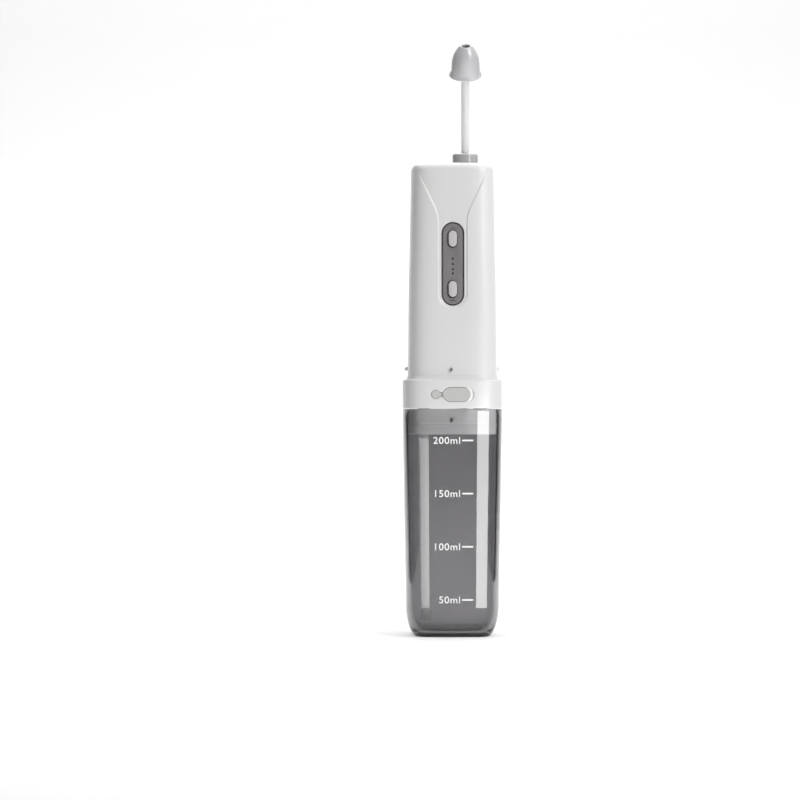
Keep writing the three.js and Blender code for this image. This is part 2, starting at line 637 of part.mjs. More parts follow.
function makeEarTip() {
  const { flange, length } = TIP;
  const profile = [
    [TUBE.outer + GAP, 0.9], [3.5, 0.9], [3.6, 9.2], [4.2, 10.0], [5.2, 9.0], [6.0, 6.2], [6.3, 2.2],
    [6.6, 0.4], [7.4, -0.35], [flange - 0.3, -0.3], [flange, 0.15], [flange - 0.1, 0.7], [7.75, 1.6],
    [7.4, 3.2], [7.25, 6.4], [7.0, 8.6], [6.4, 10.8], [5.4, 12.9], [4.2, 14.6], [3.3, 15.6], [2.8, length],
    [2.2, length], [1.9, length - 0.4], [1.7, 12], [1.7, 10.4], [TUBE.outer + GAP, 10.4],
  ];
  profile.push(profile[0]);
  const tip = piece("ear_tip", turned(profile, 28), COLORS.soft, 0.5);
  const group = new THREE.Group();
  group.position.set(...alongTip(TIP.lead));
  group.rotation.x = TIP.tilt;
  group.add(tip);
  return group;
}

function makeNozzle() {
  const { collarRadius: r, collarHeight: h, bore } = NOZZLE;
  const seat = SHELL.top + GAP;
  const knob = turned([
    [bore, 0], [r - 0.4, 0], [r, 0.4], [r, h - 1.6], [r - 0.35, h - 0.8], [r - 1.3, h - 0.15], [r - 2.2, h],
    [bore, h], [bore, 0],
  ]).translate(0, 0, seat);

  const stem = cut(
    post(STEM.radius, STEM.foot, STEM.top, 0, 0, 28),
    post(bore, STEM.foot + 0.8, STEM.top + 1, 0, 0, 20),
    post(1.2, STEM.foot - 1, STEM.foot + 2, 0, 0, 12),
    cut(post(5, 236, 238, 0, 0), post(3.1, 235, 239, 0, 0, 24)),
  );
  const ring = cut(post(4.33, 236.3, 237.7, 0, 0, 32), post(3.4, 235, 239, 0, 0, 24));

  const straight = [TUBE.foot, 250, 265, TUBE.bendStart - 3, TUBE.bendStart];
  const route = straight.map((z) => [0, 0, z]);
  for (let i = 1; i <= 3; i += 1) {
    route.push(bendPoint((TIP.tilt * i) / 3));
  }
  route.push(alongTip(TUBE.tail / 2), alongTip(TUBE.tail));

  const group = new THREE.Group();
  group.position.x = NOZZLE.x;
  group.add(
    piece("nozzle_collar", knob, COLORS.grey, 0.45),
    piece("nozzle_stem", stem, COLORS.grey, 0.5),
    piece("stem_oring", ring, COLORS.dark, 0.7),
    piece("nozzle_tube", hose(route, TUBE.outer, TUBE.inner, 22, 10), COLORS.milk, 0.25),
    makeEarTip(),
  );
  return group;
}

// ---------------------------------------------------------------- assembly

const handset = new THREE.Group();
handset.add(
  makeShell(),
  makeCollar(),
  ...makePortCover(),
  makeNeck(),
  makeGasket(),
  makePanel(),
  ...makeElectronics(),
  makeChassis(),
  ...makeScrews(),
  makeBattery(),
  makeMotor(),
  makePinion(),
  ...makeCrank(),
  ...makePiston(),
  ...makePump(),
  ...makeWaterPath(),
  makeNozzleSocket(),
  makeNozzle(),
);

const group = new THREE.Group();
group.add(makeTank(), handset);

export default group;
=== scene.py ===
"""Cordless ear irrigator: smoky water tank, white pump handset, bent nozzle with a soft ear tip.

Lengths of the object are millimetres in the row frame, and new_object() turns them into metres.
Lengths of the stage, lights and camera are metres.
"""
import json
import math

import bmesh
import bpy
import numpy as np
from mathutils import Matrix, Vector


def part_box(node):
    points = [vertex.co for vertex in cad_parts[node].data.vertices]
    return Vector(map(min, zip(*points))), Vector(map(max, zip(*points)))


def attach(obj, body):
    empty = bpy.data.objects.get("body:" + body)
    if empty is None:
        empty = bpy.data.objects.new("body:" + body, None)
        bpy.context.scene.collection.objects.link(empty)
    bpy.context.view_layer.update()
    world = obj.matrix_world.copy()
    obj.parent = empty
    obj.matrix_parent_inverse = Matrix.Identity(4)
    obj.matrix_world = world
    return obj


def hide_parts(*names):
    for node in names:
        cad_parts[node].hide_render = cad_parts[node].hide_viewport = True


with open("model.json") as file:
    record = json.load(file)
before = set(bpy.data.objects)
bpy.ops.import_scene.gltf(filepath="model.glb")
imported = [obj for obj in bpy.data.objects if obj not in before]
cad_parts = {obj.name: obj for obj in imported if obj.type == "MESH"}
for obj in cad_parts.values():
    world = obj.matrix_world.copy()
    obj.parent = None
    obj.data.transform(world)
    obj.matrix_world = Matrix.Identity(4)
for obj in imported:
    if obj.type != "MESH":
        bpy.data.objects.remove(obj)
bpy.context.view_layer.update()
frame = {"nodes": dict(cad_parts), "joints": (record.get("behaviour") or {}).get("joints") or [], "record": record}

MM = 0.001  # metres
WELD = 2e-7  # metres; points closer than this become one
SHARP = math.radians(35)  # edges with a sharper turn stay crisp
CORE = 0.05  # half width of the small face that closes the middle of a rounded-square end
PIVOT = 0.02  # radius of the small face that closes the middle of a turned end

# ---------------------------------------------------------------- frame


def box_mm(node):
    low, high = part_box(node)
    return np.array(low) / MM, np.array(high) / MM


def middle_mm(node):
    low, high = box_mm(node)
    return (low + high) / 2


def joint(name):
    return next(j for j in frame["joints"] if j["name"] == name)


# ---------------------------------------------------------------- mesh helpers


def soften(mesh):
    """Smooth shading that leaves the sharp edges crisp."""
    mesh.shade_smooth()
    mesh.set_sharp_from_angle(angle=SHARP)


def link(obj):
    bpy.context.scene.collection.objects.link(obj)
    return obj


def new_object(name, points, faces):
    """A closed mesh from points in millimetres, welded, with its faces pointing out."""
    mesh = bpy.data.meshes.new(name)
    mesh.from_pydata((np.asarray(points, float) * MM).tolist(), [], faces)
    bm = bmesh.new()
    bm.from_mesh(mesh)
    bmesh.ops.remove_doubles(bm, verts=bm.verts, dist=WELD)
    if bm.calc_volume(signed=True) < 0:
        bmesh.ops.reverse_faces(bm, faces=bm.faces)
    bm.to_mesh(mesh)
    bm.free()
    soften(mesh)
    return link(bpy.data.objects.new(name, mesh))


def skin(name, rings, loop=False):
    """A closed surface through rings of equally many points. With loop the last ring meets the first."""
    rings = np.asarray(rings, float)
    rows, count = rings.shape[:2]
    index = np.arange(rows * count).reshape(rows, count)
    low = index if loop else index[:-1]
    high = np.roll(index, -1, 0) if loop else index[1:]
    quads = np.stack([low, np.roll(low, -1, 1), np.roll(high, -1, 1), high], -1).reshape(-1, 4).tolist()
    if not loop:
        quads += [index[0][::-1].tolist(), index[-1].tolist()]
    return new_object(name, rings.reshape(-1, 3), quads)


def arc(centre, radius, start, end, count=8):
    """Points on a circle from start to end degrees."""
    turn = np.radians(np.linspace(start, end, count))
    return [(centre[0] + radius * math.cos(t), centre[1] + radius * math.sin(t)) for t in turn]


def bend(points, count=20):
    """Quadratic curve through its end points, pulled towards the middle one."""
    a, b, c = np.array(points, float)
    t = np.linspace(0, 1, count)[:, None]
    return [tuple(p) for p in (1 - t) ** 2 * a + 2 * t * (1 - t) * b + t ** 2 * c]


def smooth_curve(points, per_span=6):
    """Catmull-Rom curve through 2D points."""
    p = np.asarray(points, float)
    p = np.vstack([2 * p[0] - p[1], p, 2 * p[-1] - p[-2]])
    out = []
    for a, b, c, d in zip(p[:-3], p[1:-2], p[2:-1], p[3:]):
        for t in np.arange(per_span) / per_span:
            out.append(0.5 * (2 * b + (c - a) * t + (2 * a - 5 * b + 4 * c - d) * t * t
                              + (3 * b - a - 3 * c + d) * t ** 3))
    return [tuple(q) for q in out] + [tuple(points[-1])]


def turned(name, profile, count=96, loop=False):
    """A surface turned round the Z axis from (radius, height) points."""
    turn = np.linspace(0, 2 * np.pi, count, endpoint=False)
    ring = np.stack([np.cos(turn), np.sin(turn)], 1)
    rings = [np.column_stack([ring * r, np.full(count, z)]) for r, z in profile]
    return skin(name, rings, loop)


def place(obj, matrix):
    obj.data.transform(matrix)
    obj.data.update()
    return obj


def shift(x=0.0, y=0.0, z=0.0):
    return Matrix.Translation(Vector((x, y, z)) * MM)


def carve(target, *tools, operation="DIFFERENCE"):
    """Cuts the tools from the target, or joins them to it, and removes the tools."""
    for tool in tools:
        modifier = target.modifiers.new("carve", "BOOLEAN")
        modifier.operation = operation
        modifier.solver = "EXACT"
        modifier.object = tool
    graph = bpy.context.evaluated_depsgraph_get()
    mesh = bpy.data.meshes.new_from_object(target.evaluated_get(graph))
    target.modifiers.clear()
    old, target.data = target.data, mesh
    bpy.data.meshes.remove(old)
    for tool in tools:
        bpy.data.objects.remove(tool)
    soften(mesh)


def stadium(width, height, x=0.0, y=0.0, count=96):
    """Outline of a rectangle with round ends, evenly spaced, counter-clockwise."""
    radius = min(width, height) / 2
    dx, dy = width / 2 - radius, height / 2 - radius
    quarters = [(dx, dy, 0), (-dx, dy, 90), (-dx, -dy, 180), (dx, -dy, 270)]
    points = [p for cx, cy, start in quarters for p in arc((cx, cy), radius, start, start + 90, 25)]
    return even(points, count) + (x, y)


def even(points, count):
    """The closed polyline through these points, in evenly spaced steps."""
    p = np.vstack([points, points[:1]])
    walked = np.concatenate([[0], np.cumsum(np.hypot(*np.diff(p, axis=0).T))])
    at = np.linspace(0, walked[-1], count, endpoint=False)
    return np.column_stack([np.interp(at, walked, p[:, 0]), np.interp(at, walked, p[:, 1])])


def grown(outline, amount):
    """The outline moved outwards by amount."""
    along = np.roll(outline, -1, 0) - np.roll(outline, 1, 0)
    along /= np.hypot(*along.T)[:, None]
    return outline + amount * np.column_stack([along[:, 1], -along[:, 0]])


def pad(name, outline, profile):
    """A body with an upright outline, facing -Y. profile lists (growth, depth) from front to back."""
    rings = []
    for growth, depth in profile:
        edge = grown(outline, growth)
        rings.append(np.column_stack([edge[:, 0], np.full(len(edge), depth), edge[:, 1]]))
    return skin(name, rings)


def flared(name, outline, face, depth, radius):
    """A cutter whose mouth opens with a round lip at depth face, for an edge that isn't sharp."""
    lift = 2.0  # how far the cutter stands out of the face
    lip = [(radius - radius * math.sin(t), face + radius - radius * math.cos(t))
           for t in np.linspace(0, math.pi / 2, 6)]
    return pad(name, outline, [(radius, face - lift)] + lip + [(0, depth)])


def fillet_face(radius, face, steps=6):
    """Front edge of a pad: growth and depth from the face round to the side."""
    return [(-radius + radius * math.sin(t), face + radius - radius * math.cos(t))
            for t in np.linspace(0, math.pi / 2, steps)]


# ---------------------------------------------------------------- rounded-square section

SECTION_POWER = 4.6  # 2 is a circle, and more is squarer
SECTION_FRONT = -0.86  # the front face of the unit section lies below this y
SECTION_SAMPLES = 16001


def rounded_square(count, front_weight=1.0):
    """Unit rounded square, evenly spaced, with front_weight times as many points on its front face."""
    turn = np.linspace(0, 2 * np.pi, SECTION_SAMPLES)
    c, s = np.cos(turn), np.sin(turn)
    power = 2 / SECTION_POWER
    p = np.column_stack([np.sign(c) * np.abs(c) ** power, np.sign(s) * np.abs(s) ** power])
    step = np.hypot(*np.diff(p, axis=0).T)
    step *= np.where(p[1:, 1] < SECTION_FRONT, front_weight, 1.0)
    walked = np.concatenate([[0], np.cumsum(step)])
    at = np.linspace(0, walked[-1], count, endpoint=False)
    return np.column_stack([np.interp(at, walked, p[:, 0]), np.interp(at, walked, p[:, 1])])


def section_rings(section, profile):
    """The unit section at each (half width, height) of the profile."""
    return [np.column_stack([section * half, np.full(len(section), z)]) for half, z in profile]


def section_normals(section):
    """Outward directions at the points of the unit section."""
    steep = np.sign(section) * np.abs(section) ** (SECTION_POWER - 1)
    return steep / np.hypot(*steep.T)[:, None]


def eased(knots, z):
    """Half width at height z from (height, half width) knots, without kinks."""
    heights, halves = np.array(knots, float).T
    slopes = np.gradient(halves, heights)
    z = np.asarray(z, float)
    i = np.clip(np.searchsorted(heights, z) - 1, 0, len(heights) - 2)
    span = heights[i + 1] - heights[i]
    t = (z - heights[i]) / span
    return ((2 * t ** 3 - 3 * t ** 2 + 1) * halves[i] + (t ** 3 - 2 * t ** 2 + t) * span * slopes[i]
            + (3 * t ** 2 - 2 * t ** 3) * halves[i + 1] + (t ** 3 - t ** 2) * span * slopes[i + 1])


# ---------------------------------------------------------------- materials


def new_material(name):
    material = bpy.data.materials.new(name)
    material.use_nodes = True
    tree = material.node_tree
    tree.nodes.clear()
    out = tree.nodes.new("ShaderNodeOutputMaterial")
    shader = tree.nodes.new("ShaderNodeBsdfPrincipled")
    tree.links.new(shader.outputs["BSDF"], out.inputs["Surface"])
    return material, tree, shader, out


def noise(tree, scale, detail=2.0, stretch=None):
    """Noise fixed to the piece, with its scale in features per metre."""
    where = tree.nodes.new("ShaderNodeTexCoord").outputs["Object"]
    if stretch is not None:
        mapping = tree.nodes.new("ShaderNodeMapping")
        mapping.inputs["Scale"].default_value = stretch
        tree.links.new(where, mapping.inputs["Vector"])
        where = mapping.outputs["Vector"]
    texture = tree.nodes.new("ShaderNodeTexNoise")
    texture.inputs["Scale"].default_value = scale
    texture.inputs["Detail"].default_value = detail
    tree.links.new(where, texture.inputs["Vector"])
    return texture.outputs["Fac"]


def spread(tree, value, low, high):
    """Noise between 0.3 and 0.7, mapped to low and high."""
    node = tree.nodes.new("ShaderNodeMapRange")
    node.inputs["From Min"].default_value = 0.3
    node.inputs["From Max"].default_value = 0.7
    node.inputs["To Min"].default_value = low
    node.inputs["To Max"].default_value = high
    tree.links.new(value, node.inputs["Value"])
    return node.outputs["Result"]


def tinted(tree, factor, first, second):
    node = tree.nodes.new("ShaderNodeMix")
    node.data_type = "RGBA"
    node.inputs["A"].default_value = (*first, 1)
    node.inputs["B"].default_value = (*second, 1)
    tree.links.new(factor, node.inputs["Factor"])
    return node.outputs["Result"]


def bumped(tree, height, strength, depth):
    node = tree.nodes.new("ShaderNodeBump")
    node.inputs["Strength"].default_value = strength
    node.inputs["Distance"].default_value = depth
    tree.links.new(height, node.inputs["Height"])
    return node.outputs["Normal"]


def mixed(tree, factor, first, second, out):
    """Shows the second shader instead of the first by the factor, a number or a socket."""
    mix = tree.nodes.new("ShaderNodeMixShader")
    if isinstance(factor, float):
        mix.inputs["Fac"].default_value = factor
    else:
        tree.links.new(factor, mix.inputs["Fac"])
    tree.links.new(first.outputs["BSDF"], mix.inputs[1])
    tree.links.new(second.outputs["BSDF"], mix.inputs[2])
    tree.links.new(mix.outputs["Shader"], out.inputs["Surface"])


def moulded(name, color, rough=0.4, grain=5200, depth=6e-6, vary=0.03, metallic=0.0, coat=0.0,
            subsurface=0.0, specular=0.5, stretch=None, clear=0.0, ior=1.5, milky=0.0):
    """Moulded plastic, rubber or metal: fine surface grain, faint clouding and uneven gloss."""
    material, tree, shader, out = new_material(name)
    clouds = noise(tree, 55, 3)
    darker = tuple(c * (1 - vary) for c in color)
    lighter = tuple(min(1, c * (1 + vary)) for c in color)
    tree.links.new(tinted(tree, clouds, darker, lighter), shader.inputs["Base Color"])
    tree.links.new(spread(tree, noise(tree, 160, 2), rough * 0.9, rough * 1.1), shader.inputs["Roughness"])
    tree.links.new(bumped(tree, noise(tree, grain, 2, stretch), 0.6, depth), shader.inputs["Normal"])
    shader.inputs["Metallic"].default_value = metallic
    shader.inputs["Coat Weight"].default_value = coat
    shader.inputs["Coat Roughness"].default_value = 0.12
    shader.inputs["Specular IOR Level"].default_value = specular
    shader.inputs["Transmission Weight"].default_value = clear
    shader.inputs["IOR"].default_value = ior
    if subsurface:
        shader.inputs["Subsurface Weight"].default_value = subsurface
        shader.inputs["Subsurface Radius"].default_value = (1.0, 1.0, 1.0)
        shader.inputs["Subsurface Scale"].default_value = 0.002
    if milky:
        through = tree.nodes.new("ShaderNodeBsdfTranslucent")
        through.inputs["Color"].default_value = (*lighter, 1)
        mixed(tree, milky, shader, through, out)
    return material


def clear_plastic(name, color, absorb, density, rough=0.012):
    """Tinted clear plastic, a little darker with depth. It lets light through to what is inside."""
    material, tree, shader, out = new_material(name)
    shader.inputs["Base Color"].default_value = (*color, 1)
    shader.inputs["Transmission Weight"].default_value = 1
    shader.inputs["IOR"].default_value = 1.5
    tree.links.new(spread(tree, noise(tree, 90, 2), rough * 0.7, rough * 1.3), shader.inputs["Roughness"])
    tree.links.new(bumped(tree, noise(tree, 60, 1), 0.2, 2e-5), shader.inputs["Normal"])
    through = tree.nodes.new("ShaderNodeBsdfTransparent")
    through.inputs["Color"].default_value = (1, 1, 1, 1)
    path = tree.nodes.new("ShaderNodeLightPath")
    lit = tree.nodes.new("ShaderNodeMath")
    lit.operation = "MAXIMUM"
    tree.links.new(path.outputs["Is Shadow Ray"], lit.inputs[0])
    tree.links.new(path.outputs["Is Diffuse Ray"], lit.inputs[1])
    mixed(tree, lit.outputs["Value"], shader, through, out)
    volume = tree.nodes.new("ShaderNodeVolumeAbsorption")
    volume.inputs["Color"].default_value = (*absorb, 1)
    volume.inputs["Density"].default_value = density
    tree.links.new(volume.outputs["Volume"], out.inputs["Volume"])
    return material


MATERIALS = {
    "clear_smoke": clear_plastic("smoke_plastic", (0.44, 0.432, 0.442), (0.30, 0.30, 0.31), 110),
    "white_shell": moulded("white_plastic", (0.735, 0.727, 0.725), 0.36, vary=0.012, coat=0.12),
    "pale_plastic": moulded("pale_plastic", (0.62, 0.62, 0.62), 0.42),
    "panel_graphite": moulded("graphite_plastic", (0.205, 0.192, 0.197), 0.42, grain=7000, depth=8e-6),
    "key_grey": moulded("key_plastic", (0.56, 0.535, 0.545), 0.38, grain=6500, depth=6e-6),
    "light_guide": moulded("light_guide", (0.02, 0.018, 0.02), 0.3, depth=2e-6, specular=0.3),
    "port_silicone": moulded("port_silicone", (0.50, 0.505, 0.485), 0.55, grain=4200, depth=9e-6,
                             subsurface=0.1),
    "nozzle_grey": moulded("nozzle_grey", (0.475, 0.48, 0.485), 0.16, coat=1.0),
    "nozzle_milk": moulded("milky_plastic", (0.99, 0.99, 0.99), 0.3, milky=0.5),
    "tip_silicone": moulded("tip_silicone", (0.74, 0.74, 0.755), 0.35, grain=4200, depth=5e-6, coat=1.0,
                            clear=0.35, ior=1.41),
    "seal_rubber": moulded("seal_rubber", (0.035, 0.035, 0.036), 0.6, grain=3600, depth=1e-5),
    "screw_steel": moulded("plain_steel", (0.60, 0.61, 0.62), 0.28, metallic=1.0, stretch=(1, 1, 0.05)),
    "board_green": moulded("board_green", (0.02, 0.13, 0.055), 0.4, coat=0.3),
    "switch_black": moulded("switch_black", (0.02, 0.02, 0.022), 0.45),
    "cell_wrap": moulded("cell_wrap", (0.03, 0.14, 0.42), 0.3, depth=2e-6),
    "motor_can": moulded("motor_can", (0.58, 0.59, 0.60), 0.32, metallic=1.0, stretch=(1, 1, 0.05)),
    "pinion_brass": moulded("turned_brass", (0.70, 0.50, 0.18), 0.3, metallic=1.0),
    "nylon": moulded("nylon", (0.78, 0.75, 0.66), 0.5, subsurface=0.1),
    "frame_grey": moulded("frame_grey", (0.32, 0.32, 0.33), 0.5, grain=3500, depth=1e-5),
}
# Looks of pieces whose slot's own look doesn't suit them, some of them painted light and painted shade.
LOOKS = {
    # whiter than the casing's plastic: painted light, so the neck and the lit side of its front pin read bright
    # behind the smoky wall
    "painted_lit_white": moulded("painted_lit_white", (0.88, 0.88, 0.875), 0.35, vary=0.012),
    "seal_white": moulded("seal_white", (0.86, 0.86, 0.86), 0.3, vary=0.012),
    # dark grey as painted shade: on the front catch, on the neck's catches and on the liner in the ear tip's mouth
    "painted_shade_dark": moulded("painted_shade_dark", (0.16, 0.16, 0.155), 0.22),
    "dark_ink": moulded("dark_ink", (0.06, 0.056, 0.058), 0.5, grain=9000, depth=3e-6, vary=0.01),
    "white_ink": moulded("white_ink", (0.92, 0.92, 0.92), 0.5, grain=9000, depth=3e-6, vary=0.01),
}


def finish_piece(obj, body, slot, *nodes, look=None):
    """Gives a piece its material, from its look or else its slot, puts it on its body and hides the CAD nodes that
    it replaces.
    """
    obj.data.materials.clear()
    obj.data.materials.append(LOOKS[look] if look else MATERIALS[slot])
    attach(obj, body)
    if nodes:
        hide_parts(*nodes)


# ---------------------------------------------------------------- tank

TANK_TOP = box_mm("tank")[1][2]
TANK_WALL = 2.0
TANK_FLOOR = 2.3  # height of the inside floor near the wall
TANK_LIP = 0.35  # radius of the rim's edges
TANK_ARCH = 0.45  # depth of the hollow under the foot
TANK_RIM = 25.5  # half width
# heights with half widths
TANK_SIDE = [(17, 23.97), (20, 24.0), (60, 24.66), (103, 25.37), (110, TANK_RIM), (TANK_TOP, TANK_RIM)]
# half widths with heights
FOOT_CURVE = [(19.7, 0.3), (24.1, 6.0), (23.97, 17.0)]
INNER_CURVE = [(16.0, TANK_FLOOR), (21.7, 3.4), (21.97, 17.0)]


def tank_half(z):
    return float(eased(TANK_SIDE, z))


def make_tank():
    """Clear body with an arched foot, an inside floor and a rounded rim, and a thin black pad under the arch: a
    rubber foot, and also painted shade for the dark band at the bottom.
    """
    heights = np.concatenate([np.arange(19, 100, 4.5), np.arange(101, 114, 1.5)])
    lip_z = TANK_TOP - TANK_LIP
    outer = [(half, TANK_ARCH) for half in (CORE, 5, 10, 14, 16.6)]
    outer += [(17.3, 0.4), (17.7, 0.15), (18.0, 0.0), (18.6, 0.0), (19.2, 0.0), (19.5, 0.1)]
    outer += bend(FOOT_CURVE) + [(tank_half(z), z) for z in heights]
    top = [(tank_half(TANK_TOP - 1), TANK_TOP - 1)] + arc((TANK_RIM - TANK_LIP, lip_z), TANK_LIP, 0, 90, 5)
    top += arc((TANK_RIM - TANK_WALL + TANK_LIP, lip_z), TANK_LIP, 90, 180, 5)
    inner = [(tank_half(z) - TANK_WALL, z) for z in heights[::-1]] + bend(INNER_CURVE)[::-1]
    inner += [(half, TANK_FLOOR - dip) for half, dip in ((13, 0.05), (9, 0.08), (5, 0.1), (CORE, 0.1))]
    tank = skin("tank_body", section_rings(rounded_square(240), outer + top + inner))
    finish_piece(tank, "tank", "clear_smoke", "tank")

    # black pad under the arch: a rubber foot, and also painted shade for the dark band under the tank
    half, under, over = 16.1, 0.05, 0.38
    profile = [(CORE, under), (half - 0.2, under), (half, 0.2), (half - 0.2, over), (CORE, over)]
    foot = skin("tank_shade_pad", section_rings(rounded_square(120), profile))
    finish_piece(foot, "tank", "seal_rubber")


MARK_FIRST = 19.3  # height of the 50 ml mark
MARK_STEP = 26.97  # height of 50 ml
MARKS = [(50 * (i + 1), MARK_FIRST + MARK_STEP * i) for i in range(4)]
DIGIT_HEIGHT = 3.55
DASH_LEFT, DASH_RIGHT, DASH_HEIGHT = 4.6, 10.4, 0.8
TEXT_RIGHT = 3.65
TEXT_STRETCH = 1.05
INK = 0.04  # thickness of the print
INK_GAP = 0.01  # between the print and the face under it


def text_mesh(words):
    """Points and faces of a thin solid text, in ems."""
    curve = bpy.data.curves.new("words", "FONT")
    curve.body = words
    curve.size = 1.0
    curve.offset = 0.008
    curve.extrude = 0.01
    curve.space_character = 1.1
    obj = link(bpy.data.objects.new("words", curve))
    graph = bpy.context.evaluated_depsgraph_get()
    mesh = bpy.data.meshes.new_from_object(obj.evaluated_get(graph))
    bpy.data.objects.remove(obj)
    points = np.array([v.co for v in mesh.vertices])
    faces = [list(p.vertices) for p in mesh.polygons]
    bpy.data.meshes.remove(mesh)
    return points, faces


def make_marks():
    """Printed volume scale: a number and a dash for each 50 ml, on the tank's flat front."""
    digits = text_mesh("0")[0]
    scale = DIGIT_HEIGHT / np.ptp(digits[:, 1])
    base = digits[:, 1].min() * scale
    for volume, z in MARKS:
        words, faces = text_mesh(f"{volume}ml")
        x = TEXT_RIGHT + (words[:, 0] - words[:, 0].max()) * scale * TEXT_STRETCH
        up = words[:, 1] * scale - base - DIGIT_HEIGHT / 2
        depth = np.sign(words[:, 2]) * INK / 2

        dash = stadium(DASH_RIGHT - DASH_LEFT, DASH_HEIGHT, (DASH_LEFT + DASH_RIGHT) / 2, count=64)
        count, first = len(dash), len(words)
        rings = [np.column_stack([dash[:, 0], np.full(count, y), dash[:, 1]]) for y in (-INK / 2, INK / 2)]
        points = np.vstack([np.column_stack([x, depth, up]), *rings])
        a = np.arange(count)
        b = np.roll(a, -1)
        faces = faces + (np.column_stack([a, b, b + count, a + count]) + first).tolist()
        faces += [(a[::-1] + first).tolist(), (a + count + first).tolist()]

        lean = (tank_half(z + 2) - tank_half(z - 2)) / 4
        points[:, 1] += -tank_half(z) - INK / 2 - INK_GAP - lean * points[:, 2]
        points[:, 2] += z
        mark = new_object(f"scale_mark_{volume}", points, faces)
        finish_piece(mark, "tank", "white_shell", look="white_ink")


# ---------------------------------------------------------------- handset casing

COLLAR_FOOT, COLLAR_TOP = box_mm("collar_ring")[0][2], box_mm("collar_ring")[1][2]
COLLAR_HALF = box_mm("collar_ring")[1][0]
COLLAR_BORE = 20.9
LEDGE_Z, SKIRT_HALF = 131.13, 23.45  # the collar's flat top, and its narrow skirt above
SHELL_FOOT, SHELL_TOP = box_mm("handset_shell")[0][2], box_mm("handset_shell")[1][2]
SHELL_WALL, CEILING_WALL = 1.8, 2.2
SHELL_EDGE = 4.0  # radius of the top edge
CATCH_X = -0.65
# heights with half widths
SHELL_SIDE = [(SHELL_FOOT, 22.86), (136, 22.8), (172, 22.4), (203, 21.75), (232, 21.2), (SHELL_TOP, 21.02)]

PANEL_LEAN = math.asin(-joint("power_button_press")["axis"][2])
PANEL_Z = middle_mm("circuit_board")[2]
PANEL_WIDTH, PANEL_HEIGHT = 11.0, 42.1
PANEL_FRONT = -float(eased(SHELL_SIDE, PANEL_Z))
# from the leaning frame of the panel, whose origin lies on the casing's front, to the row frame
ON_PANEL = shift(0, PANEL_FRONT, PANEL_Z) @ Matrix.Rotation(-PANEL_LEAN, 4, "X")

# the necktie-shaped recess: half width, heights of its foot's centre and its knee, flare and its softness
TIE = {"half": 7.3, "bottom": 174.8, "knee": 215.4, "slope": 0.494, "soft": 1.5, "depth": 0.42, "edge": 0.55,
       "fade": (231.0, 237.5)}

NOZZLE_X = middle_mm("nozzle_collar")[0]
NOZZLE_HOLE, NOZZLE_HOLE_LIP = 6.2, 0.35


def smoothstep(value, low, high):
    t = np.clip((value - low) / (high - low), 0, 1)
    return t * t * (3 - 2 * t)


def tie_inset(x, z):
    """Depth of the necktie-shaped recess on the front face: round foot, straight neck, flared top."""
    hinge = TIE["slope"] * TIE["soft"] * np.logaddexp(0, (z - TIE["knee"]) / TIE["soft"])
    slant = TIE["slope"] / (1 + np.exp(-(z - TIE["knee"]) / TIE["soft"]))
    side = (TIE["half"] + hinge - np.abs(x)) / np.hypot(1, slant)
    foot = TIE["half"] - np.hypot(x, np.minimum(z - TIE["bottom"], 0))
    inside = np.where(z < TIE["bottom"], foot, side)
    fade = 1 - smoothstep(z, *TIE["fade"])
    return TIE["depth"] * fade * smoothstep(inside, -TIE["edge"] / 2, TIE["edge"] / 2)


def shell_half(z):
    return float(eased(SHELL_SIDE, z))


def make_catch(name, side, x, half, z, size, reach, look=None):
    """Small round-nosed pin, reach mm out of a face: side 0 is the front. size is its width and height."""
    profile = [(PIVOT, -1.2), (0.94, -1.2), (1.0, -0.9), (1.0, 0.0), (1.0, 0.5 * reach)]
    profile += [(math.cos(t), (0.5 + 0.5 * math.sin(t)) * reach) for t in np.linspace(0.15, 1.52, 9)]
    pin = turned(name, profile, 40)
    place(pin, Matrix.Diagonal((size[0] / 2, size[1] / 2, 1, 1)))
    place(pin, shift(0, 0, z) @ Matrix.Rotation(side * math.pi / 2, 4, "Z") @ shift(x, -half, 0)
          @ Matrix.Rotation(math.pi / 2, 4, "X"))
    finish_piece(pin, "handset", "white_shell", look=look)


def shell_outside(section):
    """Rings from the foot over the round top edge to the middle of the top, with the tie pressed in."""
    foot, lip = COLLAR_TOP + 0.02, 0.05
    half, foot_half = shell_half(SHELL_TOP - SHELL_EDGE), shell_half(foot)
    profile = [(foot_half - SHELL_WALL + 0.1, foot)] + arc((foot_half - lip, foot + lip), lip, 270, 360, 5)
    profile += [(shell_half(z), z) for z in np.arange(foot + 0.5, SHELL_TOP - SHELL_EDGE, 0.5)]
    profile += arc((half - SHELL_EDGE, SHELL_TOP - SHELL_EDGE), SHELL_EDGE, 0, 90, 16)
    profile += [((half - SHELL_EDGE) * f, SHELL_TOP) for f in (0.9, 0.75, 0.5, 0.25, 0.003)]
    rings = section_rings(section, profile)
    for ring in rings:
        inset = tie_inset(ring[:, 0], ring[:, 2]) * (ring[:, 1] < 0) * smoothstep(-section[:, 1], 0.6, 0.85)
        ring[:, :2] -= section_normals(section) * inset[:, None]
    return rings


def shell_inside(section):
    """Rings from the middle of the ceiling down the wall to the foot."""
    ceiling, radius = SHELL_TOP - CEILING_WALL, 1.9
    half = shell_half(SHELL_TOP - SHELL_EDGE)
    profile = [(CORE, ceiling), (9, ceiling), (16, ceiling)]
    profile += arc((half - SHELL_EDGE, ceiling - radius), radius, 90, 0, 5)
    profile += [(shell_half(z) - SHELL_WALL, z) for z in np.linspace(ceiling - 3, COLLAR_TOP + 0.02, 14)]
    return section_rings(section, profile)


